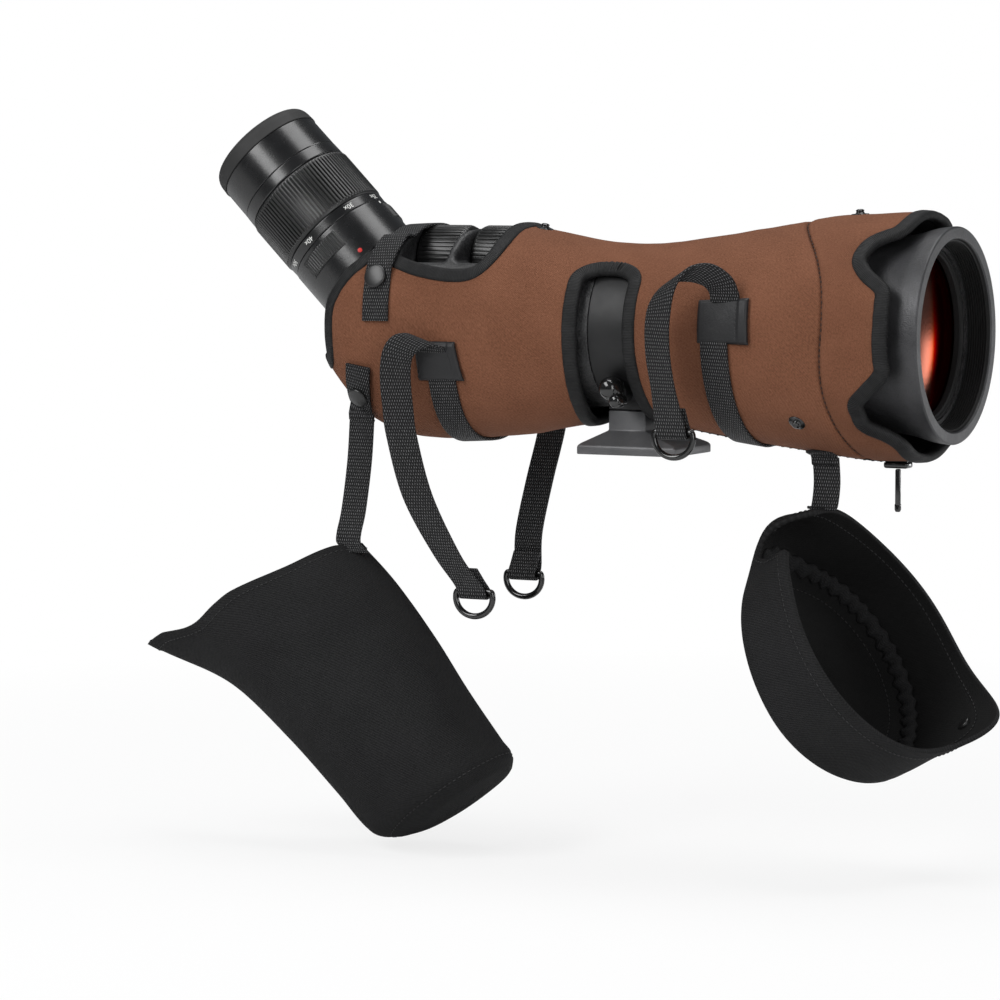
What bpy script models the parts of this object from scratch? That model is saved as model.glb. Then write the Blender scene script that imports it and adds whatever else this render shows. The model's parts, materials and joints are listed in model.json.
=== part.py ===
"""Angled spotting scope with a zoom eyepiece, a turning tripod collar and a fitted cover.

The frame: origin on the base of the tripod foot, +X towards the objective, +Z up.
Sizes below are in millimetres and MM turns them into metres when a mesh is made.
"""
import math
import bpy
import bmesh
from mathutils import Matrix, Vector

MM = 0.001
FIT = 0.3                  # running and seating gap between neighbouring pieces

# Optical layout
AXIS_Z = 60.0              # optical axis above the base of the foot
EYE_TILT = 45.0            # degrees, eyepiece axis above the optical axis
EYE_MEET_X = -125.3        # where the eyepiece axis meets the optical axis
FOCUS_RISE = 32.0          # focus spindle above the optical axis

# Barrels and housing
BARREL_WALL = 3.0
HOUSING_END_X = -58.0      # face where the housing meets the rear barrel
SHOULDER_X = 97.0          # front end of the flared barrel
RIM_R = 51.0               # rim of the sunshade
SHOULDER_R = RIM_R - 0.6   # the barrel's shoulder is level with that rim
COLLAR_X = -2.5            # middle of the tripod collar
COLLAR_HALF = 10.0
SEAT_R = 33.0              # turned seat that the collar runs on
WAIST_R = SEAT_R + 4.2
REAR_BARREL_R = 43.5       # meets the housing's end, so it keeps the housing's size


def barrel(x, share, end_r):
    """X and radius of a barrel, a share of the way from the waist to its end."""
    return x, WAIST_R + share * (end_r - WAIST_R)


REAR_TAPER = (barrel(-40.0, 0.635, REAR_BARREL_R), barrel(-25.0, 0.254, REAR_BARREL_R))
FRONT_FLARE = (barrel(20.0, 0.091, SHOULDER_R), barrel(40.0, 0.303, SHOULDER_R),
               barrel(60.0, 0.561, SHOULDER_R), barrel(80.0, 0.788, SHOULDER_R))
OBJ_TUBE_R = 43.2
OBJ_BORE_R = 41.3
OBJ_TUBE_END_X = 149.5
LENS_SHELF_X = 128.4
LENS_SHELF_R = 38.0
REAR_LENS_EDGE = 7.7       # edge thicknesses of the objective's two lenses
FRONT_LENS_EDGE = 6.8
LENS_GAP = 0.4
LENS_RING_LONG = 4.0
PORT_BORE_R = 20.6
PORT_BOSS_R = 29.6
PORT_FACE = 30.9           # port face, from the meeting point along the eyepiece axis

# Sunshade
RIM_X = 161.0
RIM_LAND = 9.0
SHADE_BORE_R = OBJ_TUBE_R + FIT
SHADE_WALL = 2.5
SHADE_BACK_X = 100.5
FLARE_START_X = 138.0

# Eyepiece stations, from the meeting point along the eyepiece axis
BASE_FOOT = 34.2
BASE_TOP = 57.2
NUMBER_TOP = 62.8
GRIP_TOP = 91.5
RING_TOP = 98.2
SLEEVE_TOP = 115.0
EYECUP_TOP = 124.2
BASE_R = 28.75
CARRIER_R = 24.0
CARRIER_TOP = 112.0
EYE_BORE_R = 19.7
SPIGOT_R = PORT_BORE_R - 0.4
SPIGOT_FOOT = 24.0
GRIP_R = 29.2
GRIP_CORE_R = 26.6
GRIP_RIBS = 32
GRIP_RIB_DEPTH = 0.8
SLEEVE_R = 28.2
SLEEVE_WALL = 2.1
EYECUP_HOLE_R = 16.5
PAD_DEPTH = 1.6
PAD_LOW = 45.2
PAD_HIGH = 54.7
PAD_HALF = 26.0            # degrees each side of a pad's middle
PAD_MIDDLES = (-100.0, 20.0, 140.0)
FIELD_R = 16.0             # bore that holds the field lens
FIELD_TOP = 44.0
EYE_SEAT = 103.0           # cone before the eye lens
EYE_LENS_R = 17.0
ZOOM_CELL = (70.0, 80.0)   # cell of the lens that zooms
ZOOM_LENS_R = 15.0

# Focus drums, prism and focusing lens
DRUM_R = 17.0
DRUM_RIBS = 24
DRUM_RIB_DEPTH = 0.6
COARSE_X = (-116.0, -92.0)
FINE_X = (-86.0, -68.0)
SPINDLE_R = 3.0
SPINDLE_X = (-121.0, -28.0)
LIGHT_PATH_X = -147.2      # hollow for the prism, from here to the rear barrel
LIGHT_PATH_HALF = 20.0
LIGHT_PATH_DROP = 27.5
LIGHT_PATH_RISE = 11.5
PRISM_HALF = 14.0
PRISM_FOOT_Z = 36.0
PRISM_SIDE = (             # X and Z of the prism's outline
    (-102.0, 49.5), (-102.0, 70.5), (-122.0, 70.5), (-129.5, 81.2), (-146.5, 64.2), (-146.5, 44.0),
    (-138.0, PRISM_FOOT_Z), (-112.0, PRISM_FOOT_Z),
)
CAGE_X = (-140.0, -110.0)
CAGE_WALL = 2.5
CAGE_TOP_Z = 58.0
BAY_GAP = 1.0
BAY_DECK = 33.0            # deck beside the drums, above the optical axis
CELL_X = (-50.0, -43.0)    # cell of the focusing lens
CELL_R = 24.0
FOCUS_LENS_R = 20.0
ROD_Y = 27.0               # rod that guides the cell
ROD_DROP = 5.0
ROD_R = 2.0
ROD_END_X = -17.0

# Tripod collar, foot and lock
COLLAR_WALL = 4.1
COLLAR_R = SEAT_R + FIT + COLLAR_WALL
COLLAR_BOSS_DROP = COLLAR_R + 1.1    # flat under the collar, below the optical axis
NECK_HALF_X = 9.8
NECK_HALF_Y = 14.0
PLATE_HALF_X = 26.0
PLATE_HALF_Y = 21.0
PLATE_EDGE = 4.0
NECK_FOOT_Z = 11.5
BUSH_X = 9.2
BUSH_R = 5.6
BUSH_THREAD_R = 4.4        # 3/8 inch thread
BUSH_DEPTH = 7.0
STOP_HOLE_X = -18.0        # hole for a head's anti-twist pin
STOP_HOLE_R = 2.3
STOP_HOLE_DEPTH = 5.0
SCREW_X = -7.6
SCREW_R = 2.5
SCREW_HEAD_R = 4.0
SCREW_HEAD_Z = 6.0
KNOB_DROP = 29.0           # knob axis below the optical axis
KNOB_X = -0.5
KNOB_R = 7.0
KNOB_Y = (-44.0, -33.3)
KNOB_STEM_R = 2.4
KNOB_BOSS_R = 6.2
KNOB_ROOT = 22.0           # inner end of the knob's boss, from the middle

# Cover
COVER_THICK = 3.0
BINDING_R = 1.9
BINDING_GAP = 0.6          # between a binding and the cut edge that it covers
BINDING_SINK = 1.4         # how far a binding's middle lies under the cover's outer face
SEAM_GAP = 0.4
WEB_WIDTH = 15.0
WEB_THICK = 1.4
RING_WIRE_R = 1.5
RING_LOOP_GAP = 0.8        # room for a ring's bar to turn in the strap's loop
RING_BAR = 19.0
RING_DROP = 12.0
TAB_THICK = 2.0
REAR_TAB_X = (-101.0, -77.0)
FRONT_TAB_X = (50.0, 78.0)
REAR_BAND_X = (-95.0, -80.0)
FRONT_BAND_X = (52.0, 67.0)
NECK_STRAP_X = (-130.0, -116.0)
NECK_CROSSING = 1.2        # lift of the neck strap where it crosses the binding
NECK_SAG = 1.6             # it lies on the bare housing over the top

# Zip
SLIDER_X = 132.0
SLIDER_LONG = 12.0
SLIDER_WIDE = 8.0
SLIDER_LOW = 3.4           # how far the slider stands below the cover
PULL_LENGTH = 19.0
PULL_THICK = 1.8

# Hoods
HOOD_WALL = 3.0
HOOD_STEPS = 28
HOOD_TAB_X = -138.0                # tab that the eyepiece hood's strap hangs from
HOOD_TAB_START = -20.0             # degrees
HOOD_TAB_END = -50.0
HOOD_TAB_LEAN = 0.15               # millimetres along X for each degree
EYE_HOOD_MOUTH = (-198.0, -74.0)   # X and Z of the middle of the mouth
EYE_HOOD_FALL = 40.8               # degrees below the horizon of the sock's axis
EYE_HOOD_SECTIONS = (              # distance down the sock, slant, half width, middle, half depth
    (0.0, 0.48, 58.5, 0.0, 20.0), (35.0, 0.34, 50.0, 6.5, 28.0), (75.0, 0.22, 45.0, 5.0, 33.0),
    (110.0, 0.18, 41.5, 0.5, 34.5), (138.0, 0.2, 39.5, -2.5, 34.0), (151.0, 0.22, 30.0, 3.0, 27.0),
)
OBJ_HOOD_TOP = (99.0, -9.0, AXIS_Z - SHOULDER_R - 9.0)   # where its strap leaves the cover
OBJ_HOOD_MIDDLE = (129.0, -14.12, OBJ_HOOD_TOP[2] - 82.6)
OBJ_HOOD_R = 58.0
OBJ_HOOD_DEPTH = 38.0
OBJ_HOOD_TILT = 31.5               # degrees that the mouth looks up
OBJ_HOOD_YAW = 11.2                # degrees that the mouth is turned to the -Y side
OBJ_HOOD_TOP_LOBE = 8.0            # tongues of the rim
OBJ_HOOD_TOP_SPAN = 32.0           # degrees
OBJ_HOOD_LOW_LOBE = 18.0
OBJ_HOOD_LOW_SPAN = 26.0           # degrees
OBJ_HOOD_LOW_TURN = 143.0          # degrees round the rim from its top
HOOD_STRAP_WIDTH = 13.5

SEAM_SIDE_X = 117.0        # seam before the front panel, at the sides
COVER_WAIST = COLLAR_R + 2 * FIT + COVER_THICK    # the cover just clears the collar
# Bare housing sections: X, up, down, half width, all from the optical axis
HOUSING = (
    (-161.6, 12.0, 17.0, 14.0),
    (-158.8, 20.0, 20.5, 25.5),
    (-154.4, 27.0, 25.0, 32.5),
    (-147.6, 36.0, 33.0, 37.6),
    (-140.0, 43.5, 42.0, 40.4),
    (-128.0, 47.2, 49.0, 40.5),
    (-110.0, 47.5, 51.8, 40.5),
    (-85.0, 47.5, 50.8, 41.0),
    (-66.0, 47.0, 48.3, 42.5),
    (HOUSING_END_X, REAR_BARREL_R + 1.1, REAR_BARREL_R + 1.9, REAR_BARREL_R + 0.1),
)


def cover_row(x, barrel_r, up, down, wide):
    """Section of the cover at x: how far its outer face stands off the barrel or collar inside it."""
    return x, barrel_r + up, barrel_r + down, barrel_r + wide


# Cover sections, outer face: X, up, down, half width
COVER = (
    (-163.0, 22.0, 22.5, 26.5),
    (-159.2, 30.0, 26.0, 33.0),
    (-154.0, 36.0, 31.8, 38.6),
    (-148.2, 41.5, 38.6, 41.6),
    (-141.0, 47.0, 46.4, 44.0),
    (-128.0, 50.0, 53.0, 44.4),
    (-110.0, 51.0, 55.7, 44.4),
    (-85.0, 51.0, 54.9, 44.9),
    (-66.0, 50.8, 53.3, 46.4),
    cover_row(-58.0, REAR_BARREL_R, 5.1, 8.9, 3.9),
    cover_row(-40.0, REAR_TAPER[0][1], 4.2, 7.6, 4.3),
    cover_row(-20.0, COVER_WAIST, 1.2, 5.2, 2.2),
    cover_row(0.0, COVER_WAIST, 0.0, 4.2, 1.2),
    cover_row(20.0, COVER_WAIST, 1.2, 5.6, 2.4),
    cover_row(40.0, FRONT_FLARE[1][1], 3.9, 8.4, 5.3),
    cover_row(60.0, FRONT_FLARE[2][1], 3.9, 7.9, 5.2),
    cover_row(80.0, FRONT_FLARE[3][1], 3.9, 7.2, 5.2),
    cover_row(100.0, SHOULDER_R, 4.6, 6.8, 5.2),
    cover_row(120.0, SHOULDER_R, 6.1, 8.8, 6.8),
    cover_row(140.0, SHOULDER_R, 7.2, 8.8, 7.2),
    cover_row(156.0, SHOULDER_R, 6.6, 7.6, 6.2),
)
REAR_PANEL_X = [row[0] for row in COVER if row[0] <= 20.0] + [45.0, 80.0, SEAM_SIDE_X]
COVER_WAIST_R = COVER_WAIST + 2.0    # mean radii of the cover at the collar window and the front edge
COVER_FRONT_R = SHOULDER_R + 7.1
BOXY_X = (-66.0, -30.0)    # the sections turn from boxy to round between these
BOXY_POWER = 2.4

# Cover openings
NOTCH_DEPTH = 15.0
NOTCH_UP = 42.0            # degrees above the side where the front edge is notched
NOTCH_DOWN = -36.0
NOTCH_FLAT = 5.0
NOTCH_FLANK = 17.0
FRONT_ANGLES = [7.5 * i for i in range(48)]
FRONT_EDGE_X = 144.0
SEAM_TOP_X = 88.0
WINDOW_TOP = 49.5          # degrees above the side where the window ends
WINDOW_ROUND = 15.0        # degrees over which its upper corners are rounded
WINDOW_BACK_X = -21.0
WINDOW_FRONT_X = 12.6
WINDOW_SPREAD = 6.0        # the window widens by this towards the bottom
TOP_EDGE = (               # X and height above the axis of the top opening, seen from the side
    (-190.0, -19.5), (-155.0, -19.5), (-152.0, -17.5), (-150.8, -12.0), (-150.8, 4.0),
    (-149.0, 12.0), (-144.0, 20.0), (-137.0, 27.5), (-128.0, 33.5), (-121.0, 33.5),
    (-114.0, 30.0), (-103.0, 27.0), (-89.0, 24.8), (-76.0, 24.8), (-67.0, 28.5),
    (-61.5, 36.0), (-59.5, 44.0), (-59.5, 60.0),
)
TOP_BINDING_SPAN = (1, 16)


# Materials
def material(name, colour, roughness, metallic=0.0, clear=0.0):
    mat = bpy.data.materials.new(name)
    mat.use_nodes = True
    shader = mat.node_tree.nodes["Principled BSDF"]
    shader.inputs["Base Color"].default_value = (*colour, 1.0)
    shader.inputs["Roughness"].default_value = roughness
    shader.inputs["Metallic"].default_value = metallic
    shader.inputs["Transmission Weight"].default_value = clear
    mat.diffuse_color = (*colour, 1.0)
    return mat


FINISH = {
    "black_alloy": ((0.012, 0.012, 0.013), 0.32, 0.6),
    "satin_alloy": ((0.04, 0.04, 0.043), 0.5, 0.5),
    "foot_grey": ((0.09, 0.09, 0.093), 0.45, 0.5),
    "armour": ((0.018, 0.018, 0.018), 0.75),
    "rubber": ((0.014, 0.014, 0.014), 0.7),
    "steel": ((0.45, 0.45, 0.46), 0.3, 1.0),
    "brass": ((0.6, 0.42, 0.16), 0.35, 1.0),
    "glass": ((0.85, 0.9, 0.88), 0.05, 0.0, 1.0),
    "neoprene": ((0.19, 0.075, 0.04), 0.9),
    "black_cloth": ((0.011, 0.011, 0.011), 0.9),
    "webbing": ((0.014, 0.014, 0.015), 0.8),
    "leather": ((0.016, 0.016, 0.017), 0.55),
    "lacquer": ((0.006, 0.006, 0.006), 0.12),
}


# Scene helpers
def start_scene():
    for obj in list(bpy.data.objects):
        bpy.data.objects.remove(obj, do_unlink=True)
    parts = bpy.data.collections.new("spotting_scope")
    cutters = bpy.data.collections.new("cutters")
    for group in (parts, cutters):
        bpy.context.scene.collection.children.link(group)
    return parts, cutters


PARTS, CUTTERS = start_scene()
MATERIALS = {name: material(name, *values) for name, values in FINISH.items()}


class Frame:
    """A place and a turn about Y or X that a piece is modelled in; Z is the piece's own axis."""

    def __init__(self, origin, turn=(0.0, 0.0)):
        self.origin = Vector(origin)
        self.turn = tuple(math.radians(a) for a in turn)


WORLD = Frame((0, 0, 0))
OPTIC = Frame((0, 0, AXIS_Z), (0, 90))
FOCUS = Frame((0, 0, AXIS_Z + FOCUS_RISE), (0, 90))
EYE = Frame((EYE_MEET_X, 0, AXIS_Z), (0, -EYE_TILT))
KNOB = Frame((KNOB_X, 0, AXIS_Z - KNOB_DROP), (90, 0))


def place(obj, finish, frame, cutter=False):
    obj.location = frame.origin * MM
    obj.rotation_euler = (frame.turn[0], frame.turn[1], 0.0)
    if cutter:
        CUTTERS.objects.link(obj)
        obj.hide_render = True
        obj.display_type = "WIRE"
    else:
        PARTS.objects.link(obj)
        obj.data.materials.append(MATERIALS[finish])
    return obj


def mesh_object(name, bm, finish, frame=WORLD, cutter=False):
    """An object from a bmesh in the frame's own millimetres."""
    bmesh.ops.scale(bm, vec=(MM, MM, MM), verts=bm.verts)
    mesh = bpy.data.meshes.new(name)
    bm.to_mesh(mesh)
    bm.free()
    mesh.shade_smooth()
    mesh.set_sharp_from_angle(angle=math.radians(35))
    return place(bpy.data.objects.new(name, mesh), finish, frame, cutter)


def turned(name, outer, inner, finish, frame, steps=32, cutter=False):
    """A turned piece: (station, radius) up the outer side, and up the bore if there is one."""
    outer = list(outer)
    loop = list(reversed(outer))
    if inner:
        loop += list(inner)
    else:
        top, foot = outer[-1], outer[0]
        loop = [(top[0], 0.0)] * (top[1] > 0) + loop + [(foot[0], 0.0)] * (foot[1] > 0)
    bm = bmesh.new()
    verts = [bm.verts.new((r, 0.0, s)) for s, r in loop]
    pairs = list(zip(verts, verts[1:])) + ([(verts[-1], verts[0])] if inner else [])
    for a, b in pairs:
        bm.edges.new((a, b))
    obj = mesh_object(name, bm, finish, frame, cutter)
    screw = obj.modifiers.new("turn", "SCREW")
    screw.axis = "Z"
    screw.steps = steps
    screw.render_steps = steps
    screw.use_merge_vertices = True
    screw.merge_threshold = 0.00001
    return obj


def polar(radius, degrees, centre=(0.0, 0.0)):
    turn = math.radians(degrees)
    return centre[0] + radius * math.cos(turn), centre[1] + radius * math.sin(turn)


def circle(radius, count, centre=(0.0, 0.0)):
    return [polar(radius, 360.0 * i / count, centre) for i in range(count)]


def ribbed(radius, depth, ribs):
    """A circle with square ribs: four points to a rib, half of them down in the groove."""
    points = []
    for i in range(ribs):
        for share, r in ((0.0, radius - depth), (0.4, radius - depth), (0.5, radius), (0.9, radius)):
            points.append(polar(r, 360.0 * (i + share) / ribs))
    return points


def flat(name, loops, start, end, finish, frame, cutter=False):
    """A flat outline with holes, extruded along the frame's Z between two stations."""
    curve = bpy.data.curves.new(name, "CURVE")
    curve.dimensions = "2D"
    curve.fill_mode = "BOTH"
    curve.extrude = (end - start) / 2 * MM
    for loop in loops:
        spline = curve.splines.new("POLY")
        spline.points.add(len(loop) - 1)
        for point, (x, y) in zip(spline.points, loop):
            point.co = (x * MM, y * MM, 0.0, 1.0)
        spline.use_cyclic_u = True
    shape = bpy.data.objects.new(name + "_outline", curve)
    bpy.context.scene.collection.objects.link(shape)
    graph = bpy.context.evaluated_depsgraph_get()
    mesh = bpy.data.meshes.new_from_object(shape.evaluated_get(graph))
    bpy.data.objects.remove(shape, do_unlink=True)
    bm = bmesh.new()
    bm.from_mesh(mesh)
    bpy.data.meshes.remove(mesh)
    bmesh.ops.scale(bm, vec=(1 / MM, 1 / MM, 1 / MM), verts=bm.verts)
    bmesh.ops.translate(bm, vec=(0, 0, (start + end) / 2), verts=bm.verts)
    bmesh.ops.remove_doubles(bm, verts=bm.verts, dist=0.01)
    bmesh.ops.recalc_face_normals(bm, faces=bm.faces)
    return mesh_object(name, bm, finish, frame, cutter)


def ring_faces(bm, rings, round_rings=True, round_row=False):
    rows = [[bm.verts.new(p) for p in ring] for ring in rings]
    pairs = list(zip(rows, rows[1:])) + ([(rows[-1], rows[0])] if round_row else [])
    for a, b in pairs:
        count = len(a)
        for i in range(count if round_rings else count - 1):
            j = (i + 1) % count
            bm.faces.new((a[i], a[j], b[j], b[i]))
    return rows


def loft(name, rings, finish, cutter=False, closed=False):
    """A loft between unlike rings of world points; `closed` joins the last ring to the first."""
    bm = bmesh.new()
    rows = ring_faces(bm, rings, True, closed)
    if not closed:
        bm.faces.new(rows[0])
        bm.faces.new(rows[-1])
    bmesh.ops.recalc_face_normals(bm, faces=bm.faces)
    return mesh_object(name, bm, finish, WORLD, cutter)


def box(name, low, high, finish, frame=WORLD, cutter=False):
    bm = bmesh.new()
    size = Vector(high) - Vector(low)
    middle = (Vector(high) + Vector(low)) / 2
    bmesh.ops.create_cube(bm, size=1.0, matrix=Matrix.Translation(middle) @ Matrix.Diagonal((*size, 1.0)))
    return mesh_object(name, bm, finish, frame, cutter)


def cut(obj, tool, operation="DIFFERENCE"):
    modifier = obj.modifiers.new(operation.lower(), "BOOLEAN")
    modifier.operation = operation
    modifier.object = tool
    return obj


def rehome(obj, origin):
    """Moves an object's origin without moving its shape."""
    shift = Vector(origin) * MM - obj.location
    obj.data.transform(Matrix.Translation(-shift))
    obj.location = Vector(origin) * MM
    return obj


def smooth(points, per_span):
    """A curve through points (tuples of any length), as a dense list."""
    points = [Vector(p) for p in points]
    out = []
    for i in range(len(points) - 1):
        before = points[max(i - 1, 0)]
        after = points[min(i + 2, len(points) - 1)]
        a, b = points[i], points[i + 1]
        for k in range(per_span):
            t = k / per_span
            out.append(0.5 * (2 * a + (b - before) * t + (2 * before - 5 * a + 4 * b - after) * t * t
                              + (3 * a - before - 3 * b + after) * t ** 3))
    return out + [points[-1]]


def tube(name, points, radius, finish, origin=(0.0, 0.0, 0.0)):
    """A closed round tube along world points."""
    curve = bpy.data.curves.new(name, "CURVE")
    curve.dimensions = "3D"
    curve.bevel_depth = radius * MM
    curve.bevel_resolution = 1
    spline = curve.splines.new("POLY")
    spline.points.add(len(points) - 1)
    for knot, p in zip(spline.points, points):
        knot.co = (*((Vector(p) - Vector(origin)) * MM), 1.0)
    spline.use_cyclic_u = True
    return place(bpy.data.objects.new(name, curve), finish, Frame(origin))


def ribbon(name, knots, finish, width=WEB_WIDTH, per_span=2):
    """Flat webbing: knots are (point, width direction); the strip is solidified to its thickness."""
    centres = smooth([k[0] for k in knots], per_span)
    sides = smooth([k[1] for k in knots], per_span)
    bm = bmesh.new()
    halves = [s.normalized() * width / 2 for s in sides]
    ring_faces(bm, [[c - h, c + h] for c, h in zip(centres, halves)], round_rings=False)
    obj = mesh_object(name, bm, finish)
    solid = obj.modifiers.new("thickness", "SOLIDIFY")
    solid.thickness = WEB_THICK * MM
    solid.offset = 0.0
    solid.use_even_offset = True
    return obj


# The cover's surface
def station(table, x):
    """Sizes of a table's section at x, on a smooth curve through its rows."""
    xs = [row[0] for row in table]
    if x <= xs[0]:
        return table[0][1:]
    if x >= xs[-1]:
        return table[-1][1:]
    i = max(k for k in range(len(xs)) if xs[k] <= x)
    lo, hi = table[i], table[i + 1]
    span = hi[0] - lo[0]
    t = (x - lo[0]) / span
    before = table[max(i - 1, 0)]
    after = table[min(i + 2, len(table) - 1)]
    sizes = []
    for k in range(1, len(lo)):
        m0 = (hi[k] - before[k]) / (hi[0] - before[0]) * span
        m1 = (after[k] - lo[k]) / (after[0] - lo[0]) * span
        rise = hi[k] - lo[k]
        sizes.append(lo[k] + m0 * t + (3 * rise - 2 * m0 - m1) * t * t + (m0 + m1 - 2 * rise) * t ** 3)
    return tuple(sizes)


def power(x):
    share = min(max((x - BOXY_X[0]) / (BOXY_X[1] - BOXY_X[0]), 0.0), 1.0)
    return BOXY_POWER + (2.0 - BOXY_POWER) * share


def skin(table, x, degrees, sink=0.0):
    """Point of a section table's surface: 0 degrees is the -Y side, 90 the top; sink goes inwards."""
    up, down, wide = station(table, x)
    c, s = math.cos(math.radians(degrees)), math.sin(math.radians(degrees))
    high = up if s > 0 else down
    p = 2.0 / power(x)
    y = -math.copysign(abs(c) ** p, c) * (wide - sink)
    z = math.copysign(abs(s) ** p, s) * (high - sink)
    return Vector((x, y, AXIS_Z + z))


def side_angle(table, x, height, sink=0.0):
    """Angle on the -Y side where the section at x has this height above the axis."""
    up, down, _ = station(table, x)
    reach = (up if height > 0 else down) - sink
    share = min(abs(height) / reach, 1.0)
    return math.degrees(math.copysign(math.asin(share ** (power(x) / 2.0)), height))


def wrap(xs, angles, low, high):
    """Rings of a strip laid round the cover along xs, from `low` to `high` off its face."""
    rings = []
    for a in angles:
        under = [skin(COVER, x, a, -low) for x in xs]
        over = [skin(COVER, x, a, -high) for x in reversed(xs)]
        rings.append(under + over)
    return rings


def angle_steps(start, end, count):
    return [start + (end - start) * i / count for i in range(count + 1)]


def front_edge(degrees):
    """X of the cover's front edge: lobes at top, bottom and sides with notches between them."""
    a = (degrees + 180.0) % 360.0 - 180.0
    a = a if abs(a) <= 90.0 else math.copysign(180.0 - abs(a), a)
    depth = 0.0
    for middle in (NOTCH_UP, NOTCH_DOWN):
        t = (abs(a - middle) - NOTCH_FLAT) / NOTCH_FLANK
        t = min(max(t, 0.0), 1.0)
        depth = max(depth, 1.0 - t * t * (3.0 - 2.0 * t))
    return FRONT_EDGE_X - NOTCH_DEPTH * depth


def seam_edge(degrees):
    """X of the seam before the front panel: it runs back over the top."""
    s = max(math.sin(math.radians(degrees)), 0.0)
    return SEAM_SIDE_X + (SEAM_TOP_X - SEAM_SIDE_X) * s ** 2


def window_edges(degrees):
    """Back and front X of the collar window at an angle below its top, with round upper corners."""
    drop = WINDOW_TOP - degrees
    t = max(0.0, 1.0 - drop / WINDOW_ROUND)
    round_in = (WINDOW_FRONT_X - WINDOW_BACK_X) / 2 * (1.0 - math.sqrt(1.0 - t * t))
    spread = WINDOW_SPREAD * max(0.0, min(1.0, -degrees / 90.0)) ** 2
    return WINDOW_BACK_X + round_in - spread, WINDOW_FRONT_X - round_in + spread


# Barrels
def build_barrels():
    seat_back = COLLAR_X - COLLAR_HALF - FIT
    seat_front = COLLAR_X + COLLAR_HALF + FIT
    seat_bore = SEAT_R - BARREL_WALL
    rear_end = HOUSING_END_X + FIT
    rear_outer = ((rear_end, REAR_BARREL_R), *REAR_TAPER, (seat_back, WAIST_R), (seat_back, SEAT_R),
                  (seat_front - FIT, SEAT_R))
    taper_x, taper_r = REAR_TAPER[0]
    rear_inner = ((rear_end, REAR_BARREL_R - BARREL_WALL), (taper_x, taper_r - BARREL_WALL),
                  (seat_back - BARREL_WALL, WAIST_R - BARREL_WALL - 1.0), (seat_back - 1.0, seat_bore),
                  (seat_front - FIT, seat_bore))
    turned("rear_barrel", rear_outer, rear_inner, "armour", OPTIC, 28)
    front_outer = ((seat_front, WAIST_R), *FRONT_FLARE, (SHOULDER_X, SHOULDER_R), (SHOULDER_X, OBJ_TUBE_R),
                   (OBJ_TUBE_END_X, OBJ_TUBE_R))
    plate = SHOULDER_X - BARREL_WALL
    shelf_back = LENS_SHELF_X - BARREL_WALL
    front_inner = [(seat_front, seat_bore)] + [(x, r - BARREL_WALL) for x, r in FRONT_FLARE]
    front_inner += [(plate, SHOULDER_R - BARREL_WALL), (plate, OBJ_BORE_R), (shelf_back, OBJ_BORE_R)]
    front_inner += [(shelf_back, LENS_SHELF_R), (LENS_SHELF_X, LENS_SHELF_R), (LENS_SHELF_X, OBJ_BORE_R)]
    front_inner.append((OBJ_TUBE_END_X, OBJ_BORE_R))
    turned("front_barrel", front_outer, front_inner, "armour", OPTIC, 28)


def build_objective():
    rim = OBJ_BORE_R - FIT
    waist = rim * 0.6
    seat = LENS_SHELF_X + FIT
    back = seat + REAR_LENS_EDGE
    rear = ((seat - 2.1, 0.0), (seat, LENS_SHELF_R - 1.0), (seat, rim), (back, rim), (back - 1.8, waist),
            (back - 2.8, 0.0))
    turned("objective_rear_lens", rear, None, "glass", OPTIC, 24)
    front = back + LENS_GAP
    edge = front + FRONT_LENS_EDGE
    lens = ((front - 2.8, 0.0), (front - 1.8, waist), (front, rim), (edge, rim), (edge + 2.6, waist),
            (edge + 3.8, 0.0))
    turned("objective_front_lens", lens, None, "glass", OPTIC, 24)
    ring = edge + 2 * LENS_GAP
    ring_end = ring + LENS_RING_LONG
    turned("lens_retaining_ring", ((ring, rim), (ring_end, rim)), ((ring, rim - 2.4), (ring_end, rim - 1.0)),
           "black_alloy", OPTIC, 24)


def build_sunshade():
    tube_r = SHADE_BORE_R + SHADE_WALL
    land = RIM_X - RIM_LAND
    middle = (FLARE_START_X + land) / 2
    outer = ((SHADE_BACK_X, tube_r), (FLARE_START_X, tube_r), (middle, tube_r + (RIM_R - tube_r) * 0.35),
             (land, RIM_R), (RIM_X - 1.0, RIM_R), (RIM_X, RIM_R - 0.8))
    inner = ((SHADE_BACK_X, SHADE_BORE_R), (RIM_X, SHADE_BORE_R))
    turned("sunshade", outer, inner, "satin_alloy", OPTIC, 36)


# Prism housing with its focus bay
def housing_ring(x, count=28):
    return [skin(HOUSING, x, 360.0 * i / count) for i in range(count)]


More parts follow.
